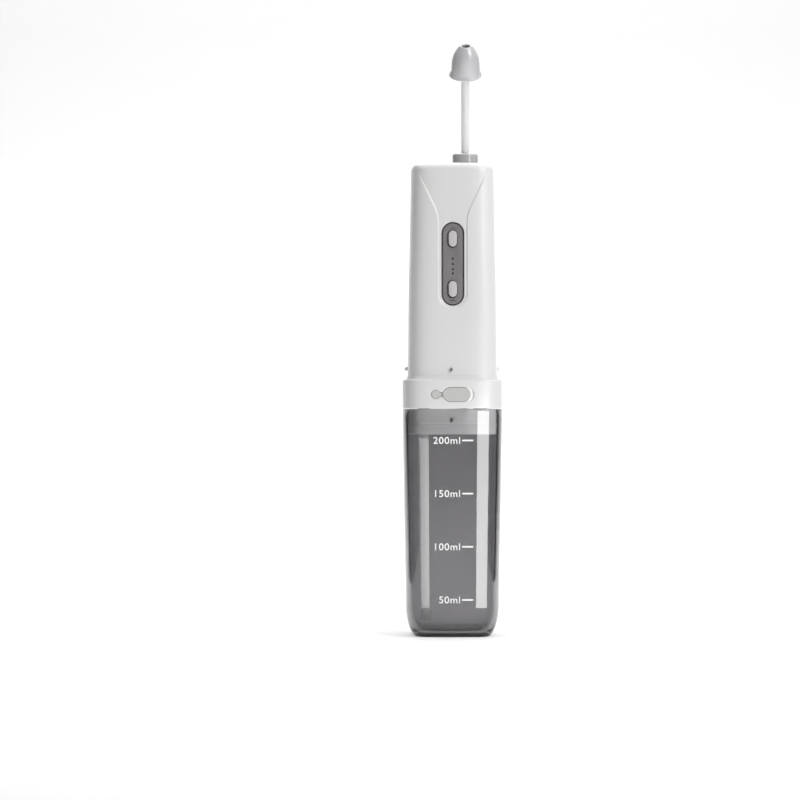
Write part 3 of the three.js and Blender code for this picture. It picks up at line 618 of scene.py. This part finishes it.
def make_shell():
    """Casing with the window for the panel, the hole for the nozzle and a snap catch on each side."""
    section = rounded_square(440, front_weight=3.4)
    shell = skin("handset_casing", shell_inside(section) + shell_outside(section))
    window = flared("window", stadium(PANEL_WIDTH + 0.5, PANEL_HEIGHT + 0.5, count=200), 0.42, 4.0, 0.4)
    bore, lip = NOZZLE_HOLE, NOZZLE_HOLE_LIP
    profile = [(PIVOT, -4), (bore, -4), (bore, -lip)] + arc((bore + lip, -lip), lip, 180, 90, 5)
    hole = turned("hole", profile + [(bore + lip, 1.0), (PIVOT, 1.0)])
    carve(shell, place(window, ON_PANEL), place(hole, shift(NOZZLE_X, 0, SHELL_TOP)))
    finish_piece(shell, "handset", "white_shell", "handset_shell")
    # the front catch is dark grey, painted shade for its shaded dot; the other three are the casing's white
    for side, z in enumerate((136.05, 136.7, 136.7, 136.7)):
        make_catch(f"shell_catch_{side + 1}", side, CATCH_X, shell_half(z), z, (1.3, 2.0), 1.7,
                   None if side else "painted_shade_dark")


# ---------------------------------------------------------------- collar, port flap

FLAP_FACE = box_mm("port_cover_anchor")[0][1]
FLAP_Z = middle_mm("port_cover_anchor")[2]
FLAP_LEFT, FLAP_RIGHT = box_mm("port_cover")[0][0], box_mm("port_cover")[1][0]
FLAP_HALF = (box_mm("port_cover")[1][2] - box_mm("port_cover")[0][2]) / 2 - 0.25
FLAP_THICK = 1.9
FLAP_GAP = 0.14  # between the lid and its recess
TAB_RADIUS = 2.25
TAB_X = box_mm("port_cover_anchor")[0][0] + TAB_RADIUS
TAB_NECK = 1.1  # half height of the narrow neck
TAB_GAP = 0.03  # between the neck and the lid
THUMB_X, THUMB_RADIUS = 7.0, 3.95
PORT_X = middle_mm("charge_socket")[0]


def lid_edge():
    """Lozenge: slanted shoulders from the narrow neck at the left, round at the right."""
    left, half = FLAP_LEFT, FLAP_HALF
    lower = bend([(left, -TAB_NECK), (left + 1.9, -half + 0.2), (left + 3.3, -half)], 12)
    upper = [(x, -z) for x, z in lower[::-1]]
    return lower + arc((FLAP_RIGHT - half, 0), half, -90, 90, 30) + upper


def tab_edge():
    turn = math.degrees(math.asin(TAB_NECK / TAB_RADIUS))
    return arc((TAB_X, 0), TAB_RADIUS, turn, 360 - turn, 40)


def recess_outline():
    """Lid, neck and tab in one, with the corners between them eased."""
    points = grown(even(tab_edge() + lid_edge(), 280), FLAP_GAP)
    for _ in range(6):
        points = (np.roll(points, 1, 0) + 2 * points + np.roll(points, -1, 0)) / 4
    return points


def scoop():
    """Cutter for the finger recess beside the lid: a round hollow that gets deeper towards its outer wall."""
    rim = stadium(2 * THUMB_RADIUS, 2 * THUMB_RADIUS, THUMB_X, count=120)
    ramp = FLAP_FACE + 0.75 + 0.22 * (rim[:, 0] - THUMB_X - THUMB_RADIUS)
    inner = np.column_stack([THUMB_X + (rim[:, 0] - THUMB_X) * 0.97, rim[:, 1] * 0.97])
    steps = [(rim, np.full(len(rim), -COLLAR_HALF - 2)), (rim, np.full(len(rim), -COLLAR_HALF)),
             (rim, ramp - 0.1), (inner, ramp)]
    return skin("thumb", [np.column_stack([edge[:, 0], depth, edge[:, 1]]) for edge, depth in steps])


def make_collar():
    """Ring with a round upper edge, a flat ledge and a narrow skirt that the casing stands on."""
    half, foot, top, bore, chamfer = COLLAR_HALF, COLLAR_FOOT, COLLAR_TOP, COLLAR_BORE, 0.6
    lip, shoulder, corner = 0.15, 0.9, 0.25
    profile = arc((half - lip, foot + lip), lip, 270, 360, 5)
    profile += [(half, z) for z in np.linspace(foot + 1, LEDGE_Z - 1.2, 24)]
    profile += arc((half - shoulder, LEDGE_Z - shoulder), shoulder, 0, 90, 8)
    profile += arc((SKIRT_HALF + 0.35, LEDGE_Z + corner), corner, 270, 190, 5)
    profile += [(SKIRT_HALF + 0.02, LEDGE_Z + 0.6), (SKIRT_HALF - 0.13, top - 1.5),
                (SKIRT_HALF - 0.36, top - 0.75), (SKIRT_HALF - 0.53, top - 0.04), (SKIRT_HALF - 0.6, top)]
    profile += [(bore + chamfer, top), (bore, top - chamfer), (bore, foot + chamfer), (bore + chamfer, foot)]
    collar = skin("collar", section_rings(rounded_square(320, front_weight=2.0), profile), loop=True)
    cutters = [
        flared("recess", recess_outline(), -half, FLAP_FACE + FLAP_THICK + 0.3, FLAP_GAP),
        scoop(),
        pad("mouth", stadium(9.5, 3.8, PORT_X), [(0, FLAP_FACE), (0, -bore + 2)]),
    ]
    for cutter in cutters:
        carve(collar, place(cutter, shift(0, 0, FLAP_Z)))
    finish_piece(collar, "handset", "white_shell", "collar_ring")


def make_flap():
    """Lid with the plug on its back, and the round tab that holds it."""
    at = shift(0, 0, FLAP_Z)
    back = FLAP_FACE + FLAP_THICK
    sides = fillet_face(0.32, FLAP_FACE) + [(0, back - 0.15), (-0.15, back)]
    face = [(-0.9, FLAP_FACE + 0.02), (-0.6, FLAP_FACE)]
    flap = pad("port_flap_lid", even(lid_edge(), 160), face + sides)
    plug = pad("plug", stadium(6.5, 1.8, PORT_X), [(0, back - 0.4), (0, back + 0.9), (-0.3, back + 1.2)])
    carve(place(flap, at), place(plug, at), operation="UNION")
    finish_piece(flap, "port_flap", "port_silicone", "port_cover")

    right = FLAP_LEFT - TAB_GAP
    outline = even([(right, -TAB_NECK), (right, TAB_NECK)] + tab_edge(), 96)
    tab = pad("port_flap_tab", outline, [(-0.5, FLAP_FACE)] + sides)
    finish_piece(place(tab, at), "handset", "port_silicone", "port_cover_anchor")


# ---------------------------------------------------------------- neck inside the tank

NECK_FOOT, NECK_TOP = box_mm("neck_plug")[0][2], box_mm("neck_plug")[1][2]
NECK_HALF = 22.95
NECK_WALL, NECK_FLOOR = 2.1, 3
SEAL_FOOT, SEAL_TOP = box_mm("neck_gasket")[0][2], box_mm("neck_gasket")[1][2]
SEAL_HALF = box_mm("neck_gasket")[1][0]
TUBE_X, TUBE_Y = middle_mm("suction_tube")[:2]


def make_neck():
    """Cup that closes the tank, with a groove for the seal and holes for the dip tube and the screws."""
    half, foot, top, wall = NECK_HALF, NECK_FOOT, NECK_TOP, NECK_WALL
    inside, floor = half - wall, foot + NECK_FLOOR
    groove, gap = half - 1.3, 0.04
    profile = [(CORE, foot), (8, foot), (16, foot)] + arc((half - 0.8, foot + 0.8), 0.8, 270, 360, 6)
    profile += [(half, SEAL_FOOT - 0.12), (half - 0.05, SEAL_FOOT - gap), (groove, SEAL_FOOT - gap),
                (groove, SEAL_TOP + gap), (half - 0.05, SEAL_TOP + gap), (half, SEAL_TOP + 0.12)]
    profile += [(half, z) for z in np.linspace(SEAL_TOP + 1, top - 0.4, 6)]
    profile += [(half - 0.3, top), (inside + 0.3, top), (inside, top - 0.3), (inside, foot + 3.5),
                (inside - 0.5, floor), (10, floor), (CORE, floor)]
    neck = skin("neck", section_rings(rounded_square(200), profile))
    profile = [(PIVOT, -1), (2.4, -1), (2.4, 5), (PIVOT, 5)]
    holes = [place(turned("hole", profile, 40), shift(TUBE_X, TUBE_Y, foot))]
    profile = [(PIVOT, -1), (2.8, -1), (2.8, 1.9), (1.45, 1.9), (1.45, 5), (PIVOT, 5)]
    for i in range(4):
        x, y = middle_mm(f"base_screw_{i + 1}")[:2]
        holes.append(place(turned("hole", profile, 40), shift(x, y, foot)))
    carve(neck, *holes)
    finish_piece(neck, "handset", "pale_plastic", "neck_plug", look="painted_lit_white")

    small, reach = (1.5, 2.4), 0.45
    # a dark catch with a larger white one to its right: painted shade and painted highlight for the shaded left
    # and lit right of one pin
    make_catch("neck_catch_1", 0, CATCH_X, half, 110.55, small, reach, "painted_shade_dark")
    make_catch("neck_catch_2", 0, 1.35, half, 110.7, (2.1, 2.7), reach, "painted_lit_white")
    # the side catches are dark grey: painted shade
    for side in (1, 2, 3):
        make_catch(f"neck_catch_{side + 2}", side, 0, half, 107.9, small, reach, "painted_shade_dark")


def make_seal():
    """Gasket with two round ribs."""
    inner = NECK_HALF - 1.0
    lip = (SEAL_TOP - SEAL_FOOT) / 4
    ribs = [(inner, SEAL_FOOT), (SEAL_HALF - 0.5, SEAL_FOOT)]
    for k in (1, 3):
        ribs += arc((SEAL_HALF - lip, SEAL_FOOT + k * lip), lip, -70, 70, 7)
    ribs += [(SEAL_HALF - 0.5, SEAL_TOP), (inner, SEAL_TOP)]
    seal = skin("neck_seal", section_rings(rounded_square(200), ribs), loop=True)
    finish_piece(seal, "handset", "tip_silicone", "neck_gasket", look="seal_white")


# ---------------------------------------------------------------- control panel

BUTTON_WIDTH, BUTTON_HEIGHT = 4.2, 8.1
BUTTON_Z = {"power": 12.8, "mode": -12.8}
BUTTON_FACE = -0.6
LIGHT_Z = [2.6, -0.1, -2.7, -4.8]
LIGHT_HOLE, LENS = 1.1, 1.02
PANEL_FACE = 0.5
PANEL_FLAT = PANEL_FACE + 0.14
SYMBOL_TOP, SYMBOL_FOOT = 18.1, -18.6  # heights of the upper and the lower symbol


def make_panel():
    """Insert with a groove round its edge, two wells for the keys and four holes for the lamps."""
    outline = stadium(PANEL_WIDTH, PANEL_HEIGHT, count=200)
    front = [(-1.2, PANEL_FLAT), (-0.75, PANEL_FLAT), (-0.6, PANEL_FACE + 0.18), (-0.5, PANEL_FACE + 0.3),
             (-0.46, PANEL_FACE + 1.4), (-0.1, PANEL_FACE + 1.5), (0, PANEL_FACE + 1.6)]
    panel = pad("control_insert", outline, front + [(0, 2.6), (1.2, 2.7), (1.2, 3.4)])
    for z in BUTTON_Z.values():
        well = stadium(BUTTON_WIDTH + 0.9, BUTTON_HEIGHT + 0.8, -0.22, z - 0.12, 120)
        carve(panel, flared("well", well, PANEL_FLAT, 5, 0.2))
    for z in LIGHT_Z:
        carve(panel, flared("lamp", stadium(LIGHT_HOLE, LIGHT_HOLE, 0, z, 40), PANEL_FLAT, 5, 0.1))
    finish_piece(place(panel, ON_PANEL), "handset", "panel_graphite", "control_panel")

    dome = [(-0.45, 0.2), (-0.25, 0.22), (-0.08, 0.3), (0, 0.42)]
    profile = [(growth, PANEL_FACE + depth) for growth, depth in dome] + [(0, 4.6)]
    for i, z in enumerate(LIGHT_Z):
        lens = pad(f"lamp_lens_{i + 1}", stadium(LENS, LENS, 0, z, 40), profile)
        finish_piece(place(lens, ON_PANEL), "handset", "light_guide", f"status_light_{i + 1}")


def make_symbols():
    """Printed symbols: a ring between two dashes above the upper key, six bars below the lower one."""
    ring = turned("symbol_ring", [(0.34, 0), (0.54, 0), (0.54, INK), (0.34, INK)], 40, loop=True)
    place(ring, shift(0, PANEL_FLAT, SYMBOL_TOP) @ Matrix.Rotation(math.pi / 2, 4, "X"))
    symbols = [ring]
    bars = [(0.75, 0.24, x, SYMBOL_TOP) for x in (-1.25, 1.25)]
    for i, height in enumerate((0.5, 0.8, 1.0, 1.0, 0.8, 0.5)):
        bars.append((0.36, height, -1.5 + 0.6 * i, SYMBOL_FOOT))
    for i, (width, height, x, z) in enumerate(bars):
        outline = stadium(width, height, x, z, 24)
        symbols.append(pad(f"symbol_bar_{i + 1}", outline, [(0, PANEL_FLAT - INK), (0, PANEL_FLAT)]))
    for symbol in symbols:
        finish_piece(place(symbol, ON_PANEL), "handset", "panel_graphite", look="dark_ink")


def make_buttons():
    """Slightly domed key caps, with a flange behind the panel."""
    for label, z in BUTTON_Z.items():
        radius, crown = BUTTON_WIDTH / 2, 0.12
        dome = [(-radius * (1 - f), BUTTON_FACE - crown * (1 - f * f) + crown) for f in (0.02, 0.2, 0.4, 0.6)]
        profile = dome + fillet_face(0.5, BUTTON_FACE + 0.06, 8) + [(0, 3.8), (0.8, 3.85), (0.8, 4.5)]
        key = pad(f"{label}_key_cap", stadium(BUTTON_WIDTH, BUTTON_HEIGHT, 0, z, 120), profile)
        finish_piece(place(key, ON_PANEL), f"{label}_key", "key_grey", f"{label}_button")


# ---------------------------------------------------------------- nozzle

KNOB_FOOT, KNOB_TOP = box_mm("nozzle_collar")[0][2], box_mm("nozzle_collar")[1][2]
KNOB_RADIUS = (box_mm("nozzle_collar")[1][0] - box_mm("nozzle_collar")[0][0]) / 2
TUBE_RADIUS, TUBE_BORE = 2.1, 1.15
TUBE_FOOT = box_mm("nozzle_tube")[0][2]
BEND_START, BEND_RADIUS = 280.0, 10.0
TIP_TILT = math.asin(-joint("ear_tip_pull")["axis"][1])
TIP_LEAD, TUBE_TAIL = 3.2, 13.2  # from the end of the bend to the tip's foot and to the tube's end
KNOB_BORE, KNOB_LIP, KNOB_EDGE = 2.45, 0.35, 1.3


def bend_point(turn):
    """Point and direction of the centre line where the bend has turned by this angle."""
    point = np.array([0, -BEND_RADIUS * (1 - math.cos(turn)), BEND_START + BEND_RADIUS * math.sin(turn)])
    return point, np.array([0, -math.sin(turn), math.cos(turn)])


def make_knob():
    """Turned knob with a round upper edge and a bore that the tube stands in."""
    r, h, lip, edge, bore = KNOB_RADIUS, KNOB_TOP - KNOB_FOOT, KNOB_LIP, KNOB_EDGE, KNOB_BORE
    profile = [(bore, 0), (r - 0.5, 0)] + arc((r - lip, lip), lip, 270, 360, 5)
    profile += [(r, 0.8), (r, 1.6), (r, 2.6), (r, h - 1.5)] + arc((r - edge, h - edge), edge, 0, 75, 10)
    profile += [(r - 1.7, h - 0.02), (3.1, h), (2.75, h - 0.1), (bore, h - 0.35), (bore, h / 2)]
    knob = turned("nozzle_knob", profile, 128, loop=True)
    finish_piece(place(knob, shift(NOZZLE_X, 0, KNOB_FOOT)), "nozzle", "nozzle_grey", "nozzle_collar")


def tube_route():
    """Centre line and forward direction: straight up, one bend, then straight into the ear tip."""
    up = np.array([0.0, 0.0, 1.0])
    route = [(np.array([0, 0, z]), up) for z in np.linspace(TUBE_FOOT, BEND_START, 26)]
    route += [bend_point(turn) for turn in np.linspace(0, TIP_TILT, 12)[1:]]
    end, forward = bend_point(TIP_TILT)
    return route + [(end + distance * forward, forward) for distance in (3.0, 6.0, 9.0, TUBE_TAIL)]


def make_tube():
    route = tube_route()
    turn = np.linspace(0, 2 * np.pi, 48, endpoint=False)
    side = np.array([1.0, 0, 0])

    def ring(point, along, radius):
        up = np.cross(along, side)
        return point + radius * (np.cos(turn)[:, None] * side + np.sin(turn)[:, None] * up) + (NOZZLE_X, 0, 0)

    outer = [ring(p, d, TUBE_RADIUS) for p, d in route]
    inner = [ring(p, d, TUBE_BORE) for p, d in route[::-1]]
    tube = skin("nozzle_pipe", outer + inner, loop=True)
    finish_piece(tube, "nozzle", "nozzle_milk", "nozzle_tube")


def make_tip():
    """Bell with a flared foot, a sleeve round the tube's end inside it, and a dark liner in its mouth, painted
    shade for the inside of the hole.
    """
    outside = smooth_curve([(7.0, -0.28), (7.9, -0.3), (8.38, 0.1), (8.2, 0.8), (7.72, 1.7), (7.42, 3.4),
                            (7.25, 6.2), (6.98, 8.6), (6.35, 10.9), (5.35, 13.0), (4.2, 14.7),
                            (3.4, 15.65)], 5)
    mouth = smooth_curve([(3.4, 15.65), (2.95, 16.1), (2.6, 16.2), (2.3, 16.05), (2.12, 15.6),
                          (2.05, 14.0)], 5)[1:]
    bore = [(2.0, 12.5), (2.0, 11.0), (1.7, 10.6), (2.3, 10.45), (2.35, 9.5), (2.35, 5.0), (2.35, 1.4),
            (2.55, 1.0)]
    hollow = smooth_curve([(3.2, 0.9), (3.55, 1.4), (3.62, 4.5), (3.68, 8.6), (4.25, 9.75), (5.1, 9.0),
                           (5.95, 6.4), (6.3, 3.2), (6.45, 1.0), (6.7, 0.0)], 4)
    # dark liner just inside the mouth: painted shade for the hole
    shade_liner = [(1.55, 11.2), (1.93, 11.2), (1.95, 12.5), (1.98, 15.3), (1.8, 15.45), (1.55, 15.2)]
    end, forward = bend_point(TIP_TILT)
    at = shift(*(end + TIP_LEAD * forward + (NOZZLE_X, 0, 0))) @ Matrix.Rotation(TIP_TILT, 4, "X")
    tip = turned("ear_tip_bell", outside + mouth + bore + hollow, 112, loop=True)
    finish_piece(place(tip, at), "soft_tip", "tip_silicone", "ear_tip")
    mouth_shade = turned("ear_tip_mouth_shade", shade_liner, 64, loop=True)
    finish_piece(place(mouth_shade, at), "soft_tip", "tip_silicone", look="painted_shade_dark")


# ---------------------------------------------------------------- suction line in the tank


def make_dip_tube():
    low, high = box_mm("suction_tube")
    radius, bore = (high[0] - low[0]) / 2, 1.3
    foot, top = low[2], high[2]
    profile = [(radius, z) for z in (foot, foot + 1, top - 1, top)] + [(bore, top), (bore, foot)]
    tube = place(turned("dip_tube", profile, 48, loop=True), shift(TUBE_X, TUBE_Y, 0))
    finish_piece(tube, "handset", "nozzle_milk", "suction_tube")


def make_filter():
    """Cup on the end of the dip tube, with six upright slots."""
    low, high = box_mm("suction_filter")
    radius, height = (high[0] - low[0]) / 2, high[2] - low[2]
    edge, bore, floor, slot_count = 0.5, 2.4, 2.2, 6
    shoulder = smooth_curve([(radius, height - 2.6), (radius - 0.5, height - 1.4), (2.75, height - 0.3)], 5)
    profile = [(PIVOT, 0), (radius - 0.6, 0)] + arc((radius - edge, edge), edge, 280, 360, 5)
    profile += [(radius, height - 3.0)] + shoulder
    profile += [(bore + 0.05, height), (bore, height - 0.3), (bore, floor), (PIVOT, floor)]
    cage = turned("dip_filter", profile, 64)
    cutters = []
    for i in range(slot_count):
        cutter = pad("slot", stadium(0.7, 3.2, 0, 2.2, 32), [(0, -radius - 1), (0, -radius + 0.75)])
        cutters.append(place(cutter, Matrix.Rotation(i * 2 * math.pi / slot_count, 4, "Z")))
    carve(cage, *cutters)
    finish_piece(place(cage, shift(TUBE_X, TUBE_Y, low[2])), "handset", "pale_plastic", "suction_filter")


# ---------------------------------------------------------------- build

make_tank()
make_marks()
make_shell()
make_collar()
make_flap()
make_neck()
make_seal()
make_panel()
make_symbols()
make_buttons()
make_knob()
make_tube()
make_tip()
make_dip_tube()
make_filter()

slot_of = {subpart["node"]: subpart["material_slot"] for subpart in frame["record"]["subparts"]}
for node, obj in frame["nodes"].items():
    obj.data.materials.clear()
    obj.data.materials.append(MATERIALS[slot_of[node]])
    if not obj.hide_render:
        obj.data.set_sharp_from_angle(angle=SHARP)

# ---------------------------------------------------------------- stage, lights, camera

PICTURE_WIDTH = 0.4119  # across the picture at the object
CAMERA_DISTANCE = 1.6
CAMERA_X, CAMERA_Z = -0.0268, 0.1207
SENSOR_WIDTH = 36  # millimetres
FLAG_X, FLAG_TOP = 0.36, 0.4


def make_stage():
    """Pale floor that sweeps up into a backdrop."""
    left, right, front, back, rise, radius = -1.4, 1.8, -3.2, 1.6, 1.9, 0.5
    profile = [(front, 0.0), (back - radius, 0.0)]
    profile += [(back - radius + radius * math.sin(t), radius - radius * math.cos(t))
                for t in np.linspace(0, math.pi / 2, 16)[1:]]
    profile.append((back, rise))
    points = [(x, y, z) for y, z in profile for x in (left, right)]
    faces = [(2 * i, 2 * i + 1, 2 * i + 3, 2 * i + 2) for i in range(len(profile) - 1)]
    mesh = bpy.data.meshes.new("stage_sweep")
    mesh.from_pydata(points, [], faces)
    mesh.shade_smooth()
    mesh.materials.append(moulded("stage_paper", (0.94, 0.94, 0.94), 0.85, grain=900, depth=2e-5, vary=0.004,
                                  specular=0.1))
    link(bpy.data.objects.new("stage_sweep", mesh))


def make_flag(name, left):
    """Black board that only shows in reflections and through clear plastic, for the tank's dark edges."""
    points = [(x, y, z) for x in (left, left + 0.01) for y in (-0.45, 0.25) for z in (0.0, FLAG_TOP)]
    faces = [(0, 1, 3, 2), (4, 6, 7, 5), (0, 4, 5, 1), (2, 3, 7, 6), (0, 2, 6, 4), (1, 5, 7, 3)]
    mesh = bpy.data.meshes.new(name)
    mesh.from_pydata(points, [], faces)
    mesh.materials.append(moulded(name, (0.01, 0.01, 0.01), 0.8))
    obj = link(bpy.data.objects.new(name, mesh))
    obj.visible_camera = obj.visible_diffuse = obj.visible_shadow = False


def area_light(name, centre, away, width, height, power):
    """Rectangular light that shines against the direction away."""
    data = bpy.data.lights.new(name, "AREA")
    data.shape = "RECTANGLE"
    data.size, data.size_y = width, height
    data.energy = power
    obj = link(bpy.data.objects.new(name, data))
    obj.location = centre
    obj.rotation_euler = away.to_track_quat("Z", "Y").to_euler()
    return obj


def make_light(name, azimuth, elevation, distance, width, height, power, target=(0, 0, 0.14)):
    """Area light at an azimuth in degrees to the right of the camera, aimed at the target."""
    a, e = math.radians(azimuth), math.radians(elevation)
    away = Vector((math.sin(a) * math.cos(e), -math.cos(a) * math.cos(e), math.sin(e)))
    return area_light(name, Vector(target) + away * distance, away, width, height, power)


def make_card(name, near, far, bottom, top, power):
    """Upright light card that only shows in reflections. near and far are the (x, y) of its edges."""
    a, b = Vector((*near, 0)), Vector((*far, 0))
    centre = (a + b) / 2 + Vector((0, 0, (bottom + top) / 2))
    across = (b - a).normalized()
    away = across.cross(Vector((0, 0, 1)))
    if away.dot(centre) < 0:
        away.negate()
    obj = area_light(name, centre, away, (b - a).length, top - bottom, power)
    obj.visible_camera = obj.visible_diffuse = obj.visible_transmission = obj.visible_volume_scatter = False


def make_neck_fill():
    """Narrow beam that lights only the neck and what stands on it, behind the smoky wall."""
    fill = make_light("neck_fill", azimuth=48, elevation=4, distance=0.8, width=0.08, height=0.02, power=0.03,
                      target=(0, 0, 0.108))
    fill.data.spread = math.radians(8)
    inside = bpy.data.collections.new("inside_tank")
    for name in ["neck", "neck_seal"] + [f"neck_catch_{i}" for i in range(1, 6)]:
        inside.objects.link(bpy.data.objects[name])
    fill.light_linking.receiver_collection = inside


def make_world():
    world = bpy.data.worlds.new("studio")
    bpy.context.scene.world = world
    world.use_nodes = True
    back = world.node_tree.nodes["Background"]
    back.inputs["Color"].default_value = (1, 1, 1, 1)
    back.inputs["Strength"].default_value = 0.05


def make_camera():
    data = bpy.data.cameras.new("camera")
    data.sensor_width = SENSOR_WIDTH
    data.lens = SENSOR_WIDTH * CAMERA_DISTANCE / PICTURE_WIDTH
    data.clip_start, data.clip_end = 0.05, 20
    camera = link(bpy.data.objects.new("camera", data))
    camera.location = (CAMERA_X, -CAMERA_DISTANCE, CAMERA_Z)
    camera.rotation_euler = (math.pi / 2, 0, 0)
    bpy.context.scene.camera = camera


make_stage()
make_flag("flag_left", -FLAG_X)
make_flag("flag_right", FLAG_X)
make_light("key", azimuth=44, elevation=26, distance=1.2, width=0.45, height=0.8, power=8.6)
make_light("overhead", azimuth=90, elevation=86, distance=1.6, width=2.4, height=2.0, power=42.5,
           target=(-0.15, 0.6, 0))
make_card("card_right", (0.0340, -0.1425), (0.1, -0.111), bottom=0.001, top=0.1168, power=0.32)
make_card("card_left", (-0.0300, -0.1435), (-0.0755, -0.1275), bottom=0.001, top=0.0955, power=0.075)
make_neck_fill()
make_world()
make_camera()
bpy.context.scene.view_settings.view_transform = "Standard"
